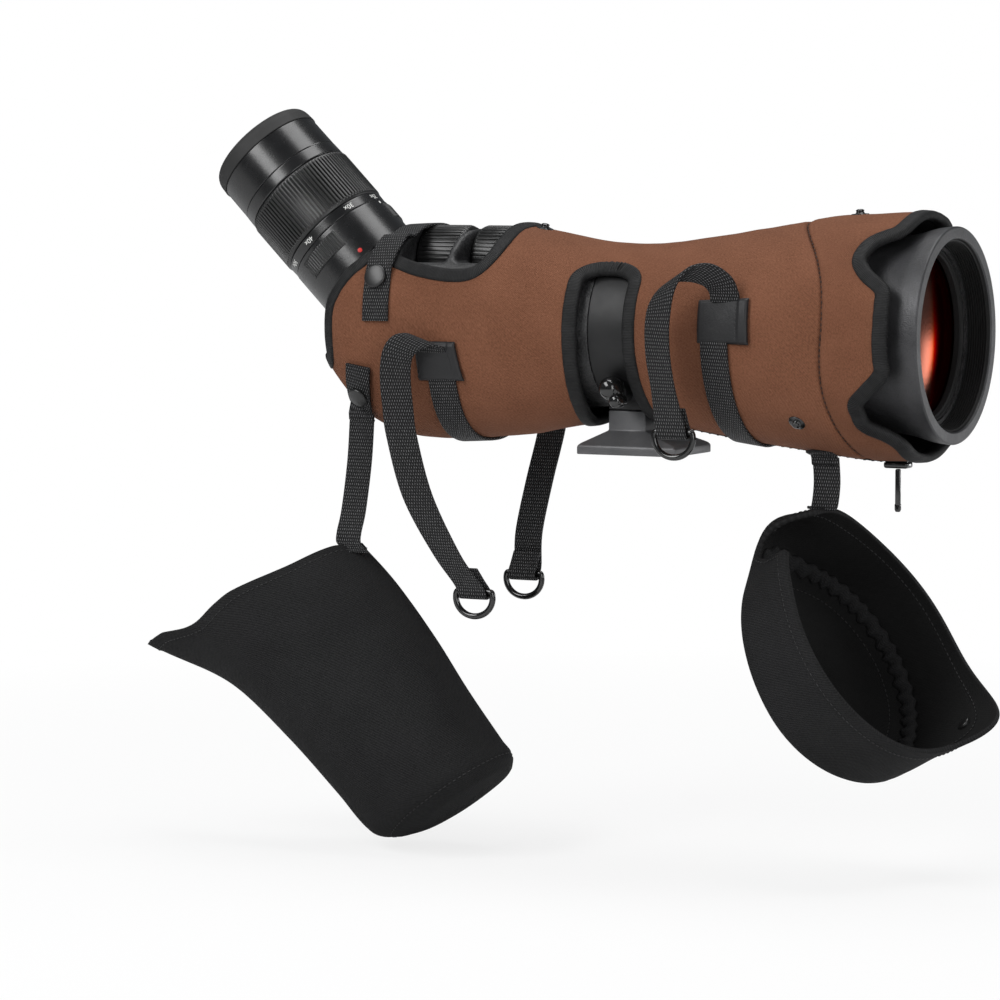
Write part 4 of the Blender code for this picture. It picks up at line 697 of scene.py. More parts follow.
# Cover
RIPPLES = ((0.035, 0.03, 2, 0.45), (0.11, 0.09, 7, 0.14))  # rate along, rate round, row of the noise, height
RIPPLE_BLEND = (225, 270)
SEAM_GROOVE = 1.3
SEAM_GROOVE_WIDTH = 1.5
WINDOW_NEAR = 9            # the window's outline is looked up only within this of it
FRONT_STEPS = 180
SCALLOP = 0.35             # tucks beside the seam of the front panel
SCALLOP_RATE = 60


def ripple(x, degrees):
    """Slight unevenness of the stretched cloth, which meets itself under the belly."""
    def wave(turn):
        return sum(high * flutter(x * along, turn * around, row) for along, around, row, high in RIPPLES)
    a = (degrees + 90) % 360 - 90
    share = step_up(a, *RIPPLE_BLEND)
    return wave(a) * (1 - share) + wave(a - 360) * share


def cloth_panel(side, bm):
    panel = piece(f"cover_{side}_panel", joined(bm), "neoprene", "scope", "neoprene", "jacket_" + side, lining="lining")
    walled(panel, COVER_THICK, lining=True)


def cover_rear():
    back = COVER[0][0]
    top = [Vector(p) for p in TOP_EDGE] + [Vector((TOP_EDGE[0][0], TOP_EDGE[-1][1]))]
    window = [Vector((x, radians(a) * COVER_WAIST_R)) for x, a in window_outline()]

    def spot(u, v):
        a = -90 + 360 * v
        return back + (seam(a) - back) * u, a

    def place(u, v):
        x, a = spot(u, v)
        return skin(x, a, ripple(x, a) - SEAM_GROOVE * bell(x, seam(a), SEAM_GROOVE_WIDTH))

    def keep(u, v):
        x, a = spot(u, v)
        if x < TOP_EDGE[-1][0] and depth_inside(top, x, skin(x, a).z - AXIS_Z) > CLOTH_REACH:
            return False
        turn = a - 360 if a > 90 else a
        if WINDOW_BACK_X - WINDOW_NEAR < x < WINDOW_FRONT_X + WINDOW_NEAR:
            return depth_inside(window, x, radians(turn) * COVER_WAIST_R) <= CLOTH_REACH
        return True
    cloth_panel("rear", laid(150, 168, place, (275, 300), keep))


def cover_front():
    step = 360 / FRONT_STEPS
    turns = [step * i for i in range(FRONT_STEPS)]
    edge = unrolled([(front_edge(a), a) for a in turns], -CLOTH_REACH, COVER_FRONT_R)

    def place(u, v):
        i = round(v * FRONT_STEPS) % FRONT_STEPS
        start = seam(turns[i])
        x = start + (edge[i][0] - start) * u
        a = turns[i] + (edge[i][1] - turns[i]) * u
        scallop = SCALLOP * sin(radians(turns[i]) * SCALLOP_RATE) * exp(-u * 20)
        groove = SEAM_GROOVE * bell(x, start, SEAM_GROOVE_WIDTH)
        return skin(x, a, ripple(x, a) - groove + scallop)
    cloth_panel("front", laid(30, FRONT_STEPS, place, (42, 360)))


TAPE_SECTION = ((-2.5, -1.5), (-2.3, -0.4), (-1.6, 0.45), (-0.4, 0.8), (1.6, 0.85), (3.4, 0.8), (4.4, 0.62),
                (4.7, 0.1), (4.7, -2.8), (3.8, -3.3), (0.4, -3.4), (-1.3, -3.2), (-2.2, -2.6))
TAPE_GIRTH = 20
TAPE_UNEVEN = 0.18
PLEAT_DEPTH = 0.32         # crimps where the tape is eased round a corner
PLEAT_SPREAD = 9
PLEAT_RATE = 2.4


def binding(name, line, toward, node, pleats=()):
    """A folded tape round a closed line of (X, angle): its section lies across the cut edge."""
    back, front = COVER[0][0], COVER[-1][0]
    points = [skin(min(max(x, back), front), a) + Vector((min(x - back, 0), 0, 0)) for x, a in line]
    normals = [skin_normal(x, a) for x, a in line]
    count = len(points)
    across = []
    for i in range(count):
        run = points[(i + 1) % count] - points[i - 1]
        across.append(normals[i].cross(run).normalized())
    lean = sum(side.dot(toward(p)) for side, p in zip(across, points))
    across = [side * copysign(1, lean) for side in across]
    gone = lengths_along(points + points[:1])
    total = gone[-1]
    rows = len(TAPE_SECTION)
    waves = FULL_TURN * round(total * PLEAT_RATE / FULL_TURN)

    def place(u, v):
        i = round(u * count) % count
        b, n = TAPE_SECTION[round(v * rows) % rows]
        fold = sum(bell(((u - spot + 0.5) % 1 - 0.5) * total, 0, PLEAT_SPREAD) for spot in pleats)
        crimp = PLEAT_DEPTH * fold * sin(u * waves) * (1 if n > 0 else 0)
        uneven = TAPE_UNEVEN * flutter(*(points[i] * 0.2))
        return points[i] + across[i] * (b + uneven) + normals[i] * (n + crimp + uneven * 0.6)
    bm = joined(laid(count, rows, place, flat=lambda u, v: (gone[round(u * count)], v * TAPE_GIRTH)))
    piece(name, bm, "tape", "scope", "black_cloth", node, sharp=CLOTH_SHARP)


def top_line():
    """Middle of the binding on the top opening as (X, angle): one side, then its mirror image."""
    edge = [Vector(p) for p in TOP_EDGE]
    last = len(edge) - 2
    side = []
    for i in range(1, last + 1):
        x, height = edge[i] + mitre(edge[i - 1], edge[i], edge[i + 1], BINDING_OFFSET)
        side.append((x, side_angle(x, height)))
    front_x = edge[last].x - BINDING_OFFSET
    start = side_angle(front_x, edge[last].y)
    side += [(front_x, start + (90 - start) * k / 4) for k in range(1, 5)]
    back, height = COVER[0][0], edge[1].y + BINDING_OFFSET
    rear = [(back - 2.2, -90)] + [(x, side_angle(x, height)) for x in (back + 0.3, back + 4.5)]
    near = rear[1:] + side[:-1]
    far = [(x, 180 - a) for x, a in reversed(near)]
    return [rear[0]] + near + [side[-1]] + far


def dense(line, per_span=6):
    """A finer closed line of (X, angle), angles kept in one turn."""
    flat = []
    angle = None
    for x, a in line:
        if angle is not None:
            a = angle + wrapped(a - angle)
        angle = a
        flat.append((x, a))
    if abs(flat[-1][1] - flat[0][1]) < 180:
        return [(p.x, p.y) for p in smooth(flat, per_span, True)]
    wrap = copysign(360, flat[-1][1] - flat[0][1])
    run = [(flat[-1][0], flat[-1][1] - wrap)] + flat + [(x, a + wrap) for x, a in flat[:2]]
    points = smooth(run, per_span)
    return [(p.x, p.y) for p in points[per_span:-1 - per_span]]


def bindings():
    centre = Vector((-100, 0, 118))
    binding("top_tape", dense(top_line()), lambda p: p - centre, "top_binding")
    window = unrolled(window_outline(), -BINDING_OFFSET, COVER_WAIST_R)
    middle = Vector((-4.2, 0, AXIS_Z - 40))
    binding("window_tape", dense(window), lambda p: p - middle, "window_binding", (0.01, 0.49, 0.51, 0.99))
    front = unrolled([(front_edge(7.5 * i), 7.5 * i) for i in range(48)], -BINDING_OFFSET, COVER_FRONT_R)
    binding("front_tape", dense(front, 5), lambda p: Vector((-1, 0, 0)), "front_binding")


# Webbing, tabs and rings
WEB_SECTION = ((-1, 0), (-0.985, 0.75), (-0.93, 1), (-0.45, 1.06), (0, 1.08), (0.45, 1.06), (0.93, 1),
               (0.985, 0.75), (1, 0), (0.985, -0.75), (0.93, -1), (0, -1.04), (-0.93, -1), (-0.985, -0.75))


def ribbon(centres, sides, width):
    """Flat webbing with rounded edges along centres, its width along sides."""
    count, rows = len(centres) - 1, len(WEB_SECTION)
    normals = []
    for i, side in enumerate(sides):
        run = centres[min(i + 1, count)] - centres[max(i - 1, 0)]
        normals.append(side.cross(run).normalized())

    def place(u, v):
        i = round(u * count)
        w, t = WEB_SECTION[round(v * rows) % rows]
        return centres[i] + sides[i].normalized() * (w * width / 2) + normals[i] * (t * WEB_THICK / 2)
    gone = lengths_along(centres)
    girth = lengths_along([Vector((w * width / 2, t * WEB_THICK / 2)) for w, t in WEB_SECTION + WEB_SECTION[:1]])
    flat = (lambda u, v: (gone[round(u * count)], girth[round(v * rows)]))
    return joined(laid(count, rows, place, flat=flat), cap=True)


def strap(name, line, width, body, *node):
    """A piece of webbing along a line of centres and width directions."""
    piece(name, ribbon(*line, width), "webbing", body, "webbing", *node, sharp=CLOTH_SHARP)


def strap_line(knots, per_span):
    return smooth([k[0] for k in knots], per_span), smooth([k[1] for k in knots], per_span)


def end_loop(bar, turn, across, slope):
    """Knots of a strap's end: round the ring's bar and a little way back up, behind the strap's own slope."""
    r = RING_LOOP_R
    route = ((-r, 4), (-r, 0), (-0.7 * r, -0.75 * r), (0, -r), (0.7 * r, -0.75 * r), (r, 0), (0.6 * r, 5),
             (0.2 * r, 11))
    x, y, z = bar
    return [((x + slope * max(rise, 0), y + out * turn, z + rise), across) for out, rise in route]


def wire_ring(bar):
    """A wire ring: a straight bar in the strap's loop and a half-round below it."""
    half, wide, shoulder = RING_BAR / 2, RING_BAR / 2 + 0.4, -3
    line = [(-half + 1.5, 0), (0, 0), (half - 1.5, 0), (half, -0.6), (wide, shoulder)]
    for i in range(1, 12):
        t = radians(15 * i)
        line.append((wide * cos(t), shoulder - (RING_DROP + shoulder) * sin(t)))
    line += [(-wide, shoulder), (-half, -0.6)]
    points = [Vector(bar) + Vector((p.x, 0, p.y)) for p in smooth(line, 4, True)]
    count = len(points)

    def place(u, v):
        i = round(u * count) % count
        run = (points[(i + 1) % count] - points[i - 1]).normalized()
        out = Vector((0, 1, 0)).cross(run)
        turn = FULL_TURN * v
        return points[i] + (out * cos(turn) + Vector((0, sin(turn), 0))) * RING_WIRE_R
    return joined(laid(count, 14, place))


def carrying_straps():
    for side, bar in STRAP_ENDS.items():
        turn = 1 if bar[1] < 0 else -1
        knots = STRAP_KNOTS[side]
        across = BACKWARD if knots[-1][1][0] < 0 else ACROSS
        (x0, _, z0), (x1, _, z1) = knots[-2][0], knots[-1][0]
        line = strap_line(knots + end_loop(bar, turn, across, (x1 - x0) / (z1 - z0)), 8)
        strap("carry_strap_" + side, line, WEB_WIDTH, "scope", "strap_" + side)
        ring = "d_ring_" + side
        piece("wire_ring_" + side, wire_ring(bar), "lacquer", ring, "lacquer", ring)


def on_cover(x, start, end, lift, count, crown=0, lean=0):
    """Points along a band that lies round the cover, and its width direction there."""
    centres, sides = [], []
    for i in range(count + 1):
        a = start + (end - start) * i / count
        here = x + lean * (a - end) + crown * step_up(sin(radians(a)), 0.4, 0.95)
        centres.append(skin(here, a, lift(a) if callable(lift) else lift))
        slope = skin(here + 4, a) - skin(here - 4, a)
        sides.append(slope.normalized())
    return centres, sides


def hood_pivot():
    """Where the eyepiece hood's strap hangs from its tab."""
    return skin(HOOD_TAB_X, HOOD_TAB_END - 4, 0.3 + WEB_THICK + 2.4)


def neck_lift(a):
    """The neck strap rises where it crosses the binding and sags between."""
    rise = abs(a - 90)
    crossing = step_up(rise, 30, 38) * (1 - step_up(rise, 60, 68))
    sag = 1 - step_up(rise, 28, 36)
    return 1 + 1.2 * crossing - 2.8 * sag


BANDS = (                  # piece, CAD node, X, width, first and last angle, lift, shift of the top towards the front
    ("neck_band", "neck_strap", -123, 14, 2, 178, neck_lift, 4),
    ("rear_belly_band", "rear_band", -87.5, 15, -20, -160, 1, 0),
    ("front_belly_band", "front_band", 59.5, 15, -2, -178, 1, 0),
)


def bands():
    for name, node, x, width, start, end, lift, crown in BANDS:
        strap(name, on_cover(x, start, end, lift, 60, crown), width, "scope", node)
    centres, sides = on_cover(HOOD_TAB_X, HOOD_TAB_START, HOOD_TAB_END, 1.6, 24, lean=HOOD_TAB_LEAN)
    pivot = hood_pivot()
    centres += [pivot + Vector(curl) for curl in ((0, -1.2, 1.2), (0, -0.9, -1.6), (0, 0.6, -2.6))]
    sides += [Vector(ACROSS)] * 3
    strap("hood_strap_tab", (centres, sides), HOOD_STRAP_WIDTH, "scope", "hood_tab")


TABS = {                   # X and angle from edge to edge, lean of the far end, columns of stitches
    "rear": (-101, -77, -4, -22.5, 4, (1.4, 22)),
    "front": (50, 78, 20, -4, 1, (21.6, 26.6)),
}
MM_PER_DEGREE = 0.8


def leather_tab(name, node, x0, x1, a0, a1, lean):
    """A leather patch sewn over the band, with rounded edges and a folded end."""
    wide, tall = x1 - x0, abs(a1 - a0) * MM_PER_DEGREE

    def place(u, v):
        rim = min(u * wide, (1 - u) * wide, v * tall, (1 - v) * tall)
        round_off = 1 - step_up(rim, 0, 1.3)
        hem = 0.5 * step_up(u, 0.80, 0.83)
        lift = 2.3 - 1.5 * round_off + hem + 0.15 * flutter(u * 3, v * 3, x0)
        return skin(x0 + wide * u + lean * (v - 0.5) * (0.4 + 0.6 * u), a0 + (a1 - a0) * v, lift)
    bm = joined(laid(44, 36, place, (wide, tall)))
    walled(piece(name, bm, "leather", "scope", "leather", node, sharp=CLOTH_SHARP), 0.7)


def tabs():
    for side, turn in (("near", lambda a: a), ("far", lambda a: 180 - a)):
        for end, (x0, x1, a0, a1, lean, _) in TABS.items():
            leather_tab(f"{end}_patch_{side}", f"{end}_tab_{side}", x0, x1, turn(a0), turn(a1), lean)


# Rigid pieces
def housing():
    """The moulded prism housing: a merged copy of the solid with its edges softened."""
    bm = bmesh.new()
    bm.from_mesh(frame["nodes"]["prism_housing"].data)
    bmesh.ops.scale(bm, vec=(1 / MM, 1 / MM, 1 / MM), verts=bm.verts)
    bmesh.ops.remove_doubles(bm, verts=bm.verts, dist=0.001)
    shell = piece("moulded_housing", bm, "armour", "scope", "armour", "prism_housing", sharp=180)
    soften = shell.modifiers.new("soften", "REMESH")
    soften.mode = "VOXEL"
    soften.voxel_size = 1.4 * MM
    soften.use_smooth_shade = True
    even = shell.modifiers.new("even", "SMOOTH")
    even.factor = 0.5
    even.iterations = 4


DRUMS = (                  # piece, CAD node, body, back and front
    ("coarse_focus_drum", "coarse_drum", "coarse_focus", -116, -92),
    ("fine_focus_drum", "fine_drum", "fine_focus", -86, -68),
)
DRUM_BORE_R = 3.4
DRUM_END = ((0, 15.2, 0), (0.5, 16.2, 0), (1.6, 16.7, 0.3), (2.4, 17, 1))  # from its end, radius, share of ribs
DRUM_RIBS = 48
DRUM_RIB_DEPTH = 0.7


def drums():
    for name, node, body, back, front in DRUMS:
        section = [(back, DRUM_BORE_R, 0), *((back + far, r, share) for far, r, share in DRUM_END),
                   *((front - far, r, share) for far, r, share in reversed(DRUM_END)), (front, DRUM_BORE_R, 0)]
        piece(name, ribbed(section, DRUM_RIBS, DRUM_RIB_DEPTH, FOCUS), "rubber", body, "rubber", node, sharp=50)


EYEPIECE_RINGS = (         # piece, CAD node, finish, body, slot, section of station, radius and fillet
    ("eyepiece_body", "eyepiece_base", "gloss", "scope", "black_alloy",
     ((24, 20.2, 0), (34.2, 20.2, 0), (34.2, 28.2, 0.3), (34.9, 28.75, 0), (57.2, 28.75, 0.35), (57.2, 24, 0),
      (112, 24, 0), (112, 17.3, 0), (104, 17.3, 0), (103, 19.7, 0), (44, 19.7, 0), (44, 16, 0),
      (24, 16, 0))),
    ("zoom_scale_ring", "zoom_ring", "gloss", "zoom_ring", "black_alloy",
     ((57.5, 24.3, 0), (57.5, 28.45, 0.3), (62.5, 28.65, 0.3), (62.5, 26.3, 0), (91.5, 26.3, 0), (91.5, 24.3, 0))),
    ("eyepiece_top_ring", "eyepiece_collar", "gloss", "scope", "black_alloy",
     ((91.8, 24.3, 0), (91.8, 28.5, 0.3), (92.3, 28.62, 0), (97.9, 28.45, 0), (98.2, 28.2, 0), (98.2, 24.3, 0))),
    ("eyecup_tube", "eyecup_sleeve", "gloss", "eyecup", "black_alloy",
     ((98.4, 26.1, 0), (98.4, 28.1, 0), (98.7, 28.35, 0), (115, 28.2, 0.2), (115, 18.5, 0), (112.3, 18.5, 0),
      (112.3, 26.1, 0))),
    ("eyecup_ring", "eyecup_rubber", "cup_rubber", "eyecup", "rubber",
     ((115.2, 16.5, 0), (115.2, 28.7, 0.3), (120.6, 28.3, 1.2), (123.2, 27, 1.2), (124.2, 24.6, 0.8),
      (123.6, 21, 0.8), (121.2, 17.6, 0.8))),
)
ZOOM_GRIP = (              # station, radius, share of the rib's depth
    (62.8, 26.6, 0), (62.8, 28.3, 0), (63.2, 28.75, 0), (64, 28.95, 0), (64.6, 29.2, 0.5), (65.2, 29.2, 1),
    (89.2, 29.2, 1), (89.8, 29.2, 0.5), (90.6, 28.95, 0), (91.2, 28.75, 0), (91.5, 28.3, 0), (91.5, 26.6, 0),
)
GRIP_RIBS = 92
GRIP_RIB_DEPTH = 0.75
PAD_MIDDLES = (-93, 27, 147)
PAD_SPREAD = 52            # degrees
PAD_LONG = 26
PAD_TALL = 10.5
PAD_FOOT = 44.8
PAD_R = 28.3
PAD_THICK = 0.9
PAD_RIBS = 17
ZOOM_MARKS = (("25x", -3), ("30x", -40), ("40x", -94), ("50x", -130))
MARK_SIZE = 3.6
MARK_R = 28.62
MARK_STATION = 60.1
DOTS = (                   # piece, ink, station, degrees, radius
    ("index_dot", "white_print", 55.9, -1, 0.75), ("bayonet_dot", "red_print", 38, -61, 1.15),
)
DOT_SEAT_R = 28.7


def grip_pads():
    pads = bmesh.new()
    for middle in PAD_MIDDLES:
        def place(u, v, middle=middle):
            rim = min(u * PAD_LONG, (1 - u) * PAD_LONG, v * PAD_TALL, (1 - v) * PAD_TALL)
            ribs = 0.2 * cos(u * FULL_TURN * PAD_RIBS) * step_up(rim, 0.5, 1.2)
            r = PAD_R + PAD_THICK * step_up(rim, 0, 0.6) + ribs
            return EYE @ on_ring(radians(middle + (u - 0.5) * PAD_SPREAD), r, PAD_FOOT + PAD_TALL * v)
        added(pads, laid(160, 16, place, (PAD_LONG, PAD_TALL)))
    walled(piece("eyepiece_pads", pads, "rubber", "scope", "rubber", "eyepiece_grip", sharp=CLOTH_SHARP), 0.8)


def eyepiece():
    for name, node, finish, body, slot, section in EYEPIECE_RINGS:
        sharp = CLOTH_SHARP if slot == "rubber" else HARD_SHARP
        piece(name, turned(section, EYE), finish, body, slot, node, sharp=sharp)
    grip = ribbed(ZOOM_GRIP, GRIP_RIBS, GRIP_RIB_DEPTH, EYE)
    piece("zoom_grip_sleeve", grip, "rubber", "zoom_ring", "rubber", "zoom_grip", sharp=50)
    grip_pads()
    for label, turn in ZOOM_MARKS:
        scale_mark("zoom_mark_" + label, label, turn)
    for name, ink, s, turn, r in DOTS:
        out = EYE.to_3x3() @ on_ring(radians(turn), 1, 0)
        place = Matrix.Translation(EYE @ Vector((0, 0, s)) + out * DOT_SEAT_R) @ turn_to(out, (0, 0, 1))
        dome = [(-0.3, 0, 0), (-0.3, r, 0), (0.08, r, 0), (0.16, r * 0.7, 0), (0.18, 0, 0)]
        piece(name, turned(dome, place, 20, True), ink, "scope", "black_alloy")


def scale_mark(name, label, turn):
    """A number of the zoom scale, wrapped on its ring with its foot towards the eye."""
    curve = bpy.data.curves.new(name, "FONT")
    curve.body = label
    curve.size = MARK_SIZE
    curve.align_x = "CENTER"
    curve.align_y = "CENTER"
    curve.extrude = 0.05
    text = bpy.data.objects.new(name + "_text", curve)
    bpy.context.scene.collection.objects.link(text)
    mesh = bpy.data.meshes.new_from_object(text.evaluated_get(bpy.context.evaluated_depsgraph_get()))
    bpy.data.objects.remove(text, do_unlink=True)
    bm = bmesh.new()
    bm.from_mesh(mesh)
    bpy.data.meshes.remove(mesh)
    for vert in bm.verts:
        x, y, z = vert.co
        vert.co = EYE @ on_ring(radians(turn) - x / MARK_R, MARK_R + z, MARK_STATION - y)
    bmesh.ops.recalc_face_normals(bm, faces=bm.faces)
    piece(name, bm, "white_print", "zoom_ring", "black_alloy", sharp=30)


SUNSHADE_TUBE = (
    (100.5, 45, 0), (100.5, 46, 0.4), (131, 46, 6), (143, 47.3, 5), (152.5, 50.2, 3),
    (159.6, 51, 1), (160.5, 51, 0.4), (161, 50.4, 0.2), (161, 45.5, 0.4), (160, 45, 0),
)
BORE_GROOVES = 8           # fine grooves inside the mouth, which kill stray light
GROOVE_START = 159.2
GROOVE_PITCH = 1.2
GROOVE_SECTION = ((0, 44.7), (0.3, 44.1), (0.8, 44.1), (1, 44.7))


def sunshade():
    tube = turned(SUNSHADE_TUBE, OPTIC, 128)
    piece("sunshade_tube", tube, "satin", "sunshade", "satin_alloy", "sunshade", sharp=30)
    bore = [(101, 45, 0), (160.2, 45, 0)]
    for i in range(BORE_GROOVES):
        bore += [(GROOVE_START - GROOVE_PITCH * i - back, r, 0) for back, r in GROOVE_SECTION]
    bore += [(149.4, 43.7, 0), (101, 43.7, 0)]
    piece("sunshade_bore", turned(bore, OPTIC, 128), "matt", "sunshade", "satin_alloy", sharp=30)


LENS_R = 40
LENS_EDGE_X = 143.7
LENS_RISE = 3.7
LENS_STEPS = 14
LENS_BACK = ((136.5, 0, 0), (136.9, 41, 0), (143.5, 41, 0.4))
LENS_RING = ((144.4, 41, 0), (148.6, 41, 0.3), (148.6, 40, 0.2), (147.6, 39.6, 0.1), (147.2, 38.8, 0.1),
             (144.4, 38.6, 0.2))


def objective():
    dome = list(LENS_BACK)
    for i in range(1, LENS_STEPS + 1):
        r = LENS_R * (1 - i / LENS_STEPS)
        dome.append((LENS_EDGE_X + LENS_RISE * (1 - (r / LENS_R) ** 2), r, 0))
    piece("objective_glass", turned(dome, OPTIC, 96, True), "coated_glass", "scope", "glass", "objective_front_lens",
          sharp=CLOTH_SHARP)
    piece("lens_ring", turned(LENS_RING, OPTIC), "matt", "scope", "black_alloy", "lens_retaining_ring")


def block(low, high, width):
    """A box with rounded edges."""
    bm = bmesh.new()
    size, middle = Vector(high) - Vector(low), (Vector(high) + Vector(low)) / 2
    bmesh.ops.create_cube(bm, size=1, matrix=Matrix.Translation(middle) @ Matrix.Diagonal((*size, 1)))
    rounded(bm, bm.edges[:], width, FILLET_STEPS)
    return bm


COLLAR_RING = ((-12.5, 33.3, 0), (-12.5, 37.4, 0.6), (7.5, 37.4, 0.6), (7.5, 33.3, 0))
NECK_HALF = (9.8, 14)
NECK_Z = (21.5, 26.6)
KNOB_BOSS = ((24, 2.7, 0), (24, 6.2, 0), (33, 6.2, 0.5), (33, 2.7, 0))
FOOT_LEVELS = (            # Z, X, half length and half width
    (0, 0, 26, 21), (4, 0, 26, 21), (5.2, 0, 24.8, 19.8), (11.5, COLLAR_X, *NECK_HALF),
    (21.2, COLLAR_X, *NECK_HALF),
)
CORNERS = ((-1, -1), (1, -1), (1, 1), (-1, 1))
KNOB_SHANK = ((23, 0, 0), (23, 2.4, 0), (36, 2.4, 0), (36, 0, 0))
KNOB_BALL = ((33.3, 0, 0), (33.3, 5.2, 0.4), (36.5, 6, 1.4), (41, 5.3, 2), (43.6, 3, 1.4), (44, 0, 0))
KNOB_BALL_AT = (0.8, 2.2, 0)
KNOB_LOBE = ((33.8, 0, 0), (33.8, 3.4, 0.4), (38.5, 3.8, 1.2), (41.8, 2.8, 1.2), (42.6, 0, 0))
KNOB_LOBE_AT = (4.2, -3.6, 0)


def collar():
    bm = turned(COLLAR_RING, OPTIC, 128)
    half_x, half_y = NECK_HALF
    low, high = NECK_Z
    added(bm, block((COLLAR_X - half_x, -half_y, low), (COLLAR_X + half_x, half_y, high), 0.8))
    added(bm, turned(KNOB_BOSS, KNOB, 48))
    piece("collar_ring", bm, "barrel_black", "collar", "black_alloy", "tripod_collar")
    foot = bmesh.new()
    lower = None
    for z, x, half_x, half_y in FOOT_LEVELS:
        corners = [foot.verts.new((x + sx * half_x, sy * half_y, z)) for sx, sy in CORNERS]
        if lower:
            for i in range(4):
                foot.faces.new((lower[i], lower[(i + 1) % 4], corners[(i + 1) % 4], corners[i]))
        else:
            foot.faces.new(corners[::-1])
        lower = corners
    foot.faces.new(lower)
    rounded(foot, foot.edges[:], 0.6, 3)
    bmesh.ops.recalc_face_normals(foot, faces=foot.faces)
    piece("mount_foot", foot, "foot", "collar", "foot_grey", "tripod_foot")
    knob = turned(KNOB_SHANK, KNOB, 32, True)
    added(knob, turned(KNOB_BALL, KNOB @ Matrix.Translation(KNOB_BALL_AT), 48, True))
    added(knob, turned(KNOB_LOBE, KNOB @ Matrix.Translation(KNOB_LOBE_AT), 40, True))
    piece("lock_knob_cap", knob, "lacquer", "lock_knob", "lacquer", "lock_knob")


ZIP_X = (16, 142)
ZIP_WIDE = 12
TEETH = 58
TOOTH_PITCH = 2.1
TOOTH_SIZE = (1.3, 2.6, 0.7)
TOOTH_SIDE = 0.9
PULL_BAR_HALF = (1.3, 0.9)
PULL_GRIP = (0.6, 4)       # where the pull's wide end starts and ends, above its tip


def zip_run():
    """Zip under the front: its tape, two rows of teeth, the slider and the long pull."""
    start, end = ZIP_X

    def tape(u, v):
        x = start + (end - start) * u
        return skin(x, -90 + (v - 0.5) * ZIP_WIDE, 0.25 + 0.1 * cos(pi * (v - 0.5)))
    strip = joined(laid(80, 8, tape, (end - start, ZIP_WIDE)))
    walled(piece("zip_tape", strip, "tape", "scope", "black_cloth", sharp=CLOTH_SHARP), 0.5)
    teeth = bmesh.new()
    for i in range(TEETH):
        side = TOOTH_SIDE if i % 2 else -TOOTH_SIDE
        spot = skin(start + 3 + TOOTH_PITCH * i, -90, 0.3) + Vector((0, side, 0))
        tooth = Matrix.Translation(spot) @ Matrix.Diagonal((*TOOTH_SIZE, 1))
        bmesh.ops.create_cube(teeth, size=1, matrix=tooth)
    rounded(teeth, teeth.edges[:], 0.2, 1)
    piece("zip_teeth", teeth, "lacquer", "scope", "black_cloth")
    low, high = [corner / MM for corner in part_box("zip_slider")]
    piece("zip_slide", block(low, high, 1.1), "lacquer", "scope", "lacquer", "zip_slider")
    low, high = [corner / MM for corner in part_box("zip_pull")]
    middle, half = (low + high) / 2, (high - low) / 2
    wide, thick = PULL_BAR_HALF
    foot, head = PULL_GRIP
    bar = block((middle.x - wide, -thick, low.z), (middle.x + wide, thick, high.z), 0.7)
    grip = block((middle.x - half.x, -half.y, low.z + foot), (middle.x + half.x, half.y, low.z + head), 0.6)
    piece("zip_puller", added(bar, grip), "lacquer", "zip_pull", "lacquer", "zip_pull")


# Fasteners and stitches
STUDS = {                  # finish, steps, section of station, share of the radius and fillet
    "cap": ("stud", 36, ((-1.2, 0, 0), (-1.2, 0.92, 0), (0.2, 1, 0.2), (0.8, 0.93, 0.3), (1.3, 0.6, 1.5),
                         (1.5, 0, 0))),
    "ball": ("lacquer", 32, ((-0.6, 0, 0), (-0.6, 1, 0), (0.35, 1, 0.2), (0.5, 0.55, 0.1), (1.3, 0.42, 0.2),
                             (2, 0.5, 0.3), (2.5, 0.3, 0.3), (2.6, 0, 0))),
}


def stud(name, kind, spot, normal, radius, body="scope"):
    """Half of a press stud: a cap with a rolled rim, or a flange with a small ball."""
    finish, steps, section = STUDS[kind]
    dome = [(s, radius * share, fillet) for s, share, fillet in section]
    place = Matrix.Translation(spot) @ turn_to(normal, (1, 0, 0.2))
    piece(name, turned(dome, place, steps, True), finish, body, "lacquer")


def stitch_row(bm, points, normals, pitch, long, thick):
    """Adds small rounded stitches along a line."""
    gone, due = 0, pitch / 2
    for a, b, up in zip(points, points[1:], normals):
        run = b - a
        while due <= gone + run.length and run.length > 0:
            spot = a + run * ((due - gone) / run.length)
            turn = Matrix.Translation(spot) @ turn_to(run, up) @ Matrix.Diagonal((thick * 0.7, thick, long / 2, 1))
            bmesh.ops.create_uvsphere(bm, u_segments=6, v_segments=4, radius=1, matrix=turn)
            due += pitch
        gone += run.length


NECK_STITCH_X = (-128.5, -117.5)
NECK_STITCH_TURNS = [4 + 6 * k / 10 for k in range(11)]
TAB_STITCH_RUN = [0.07 + 0.86 * k / 20 for k in range(21)]
SEAM_STITCH_STEPS = 180


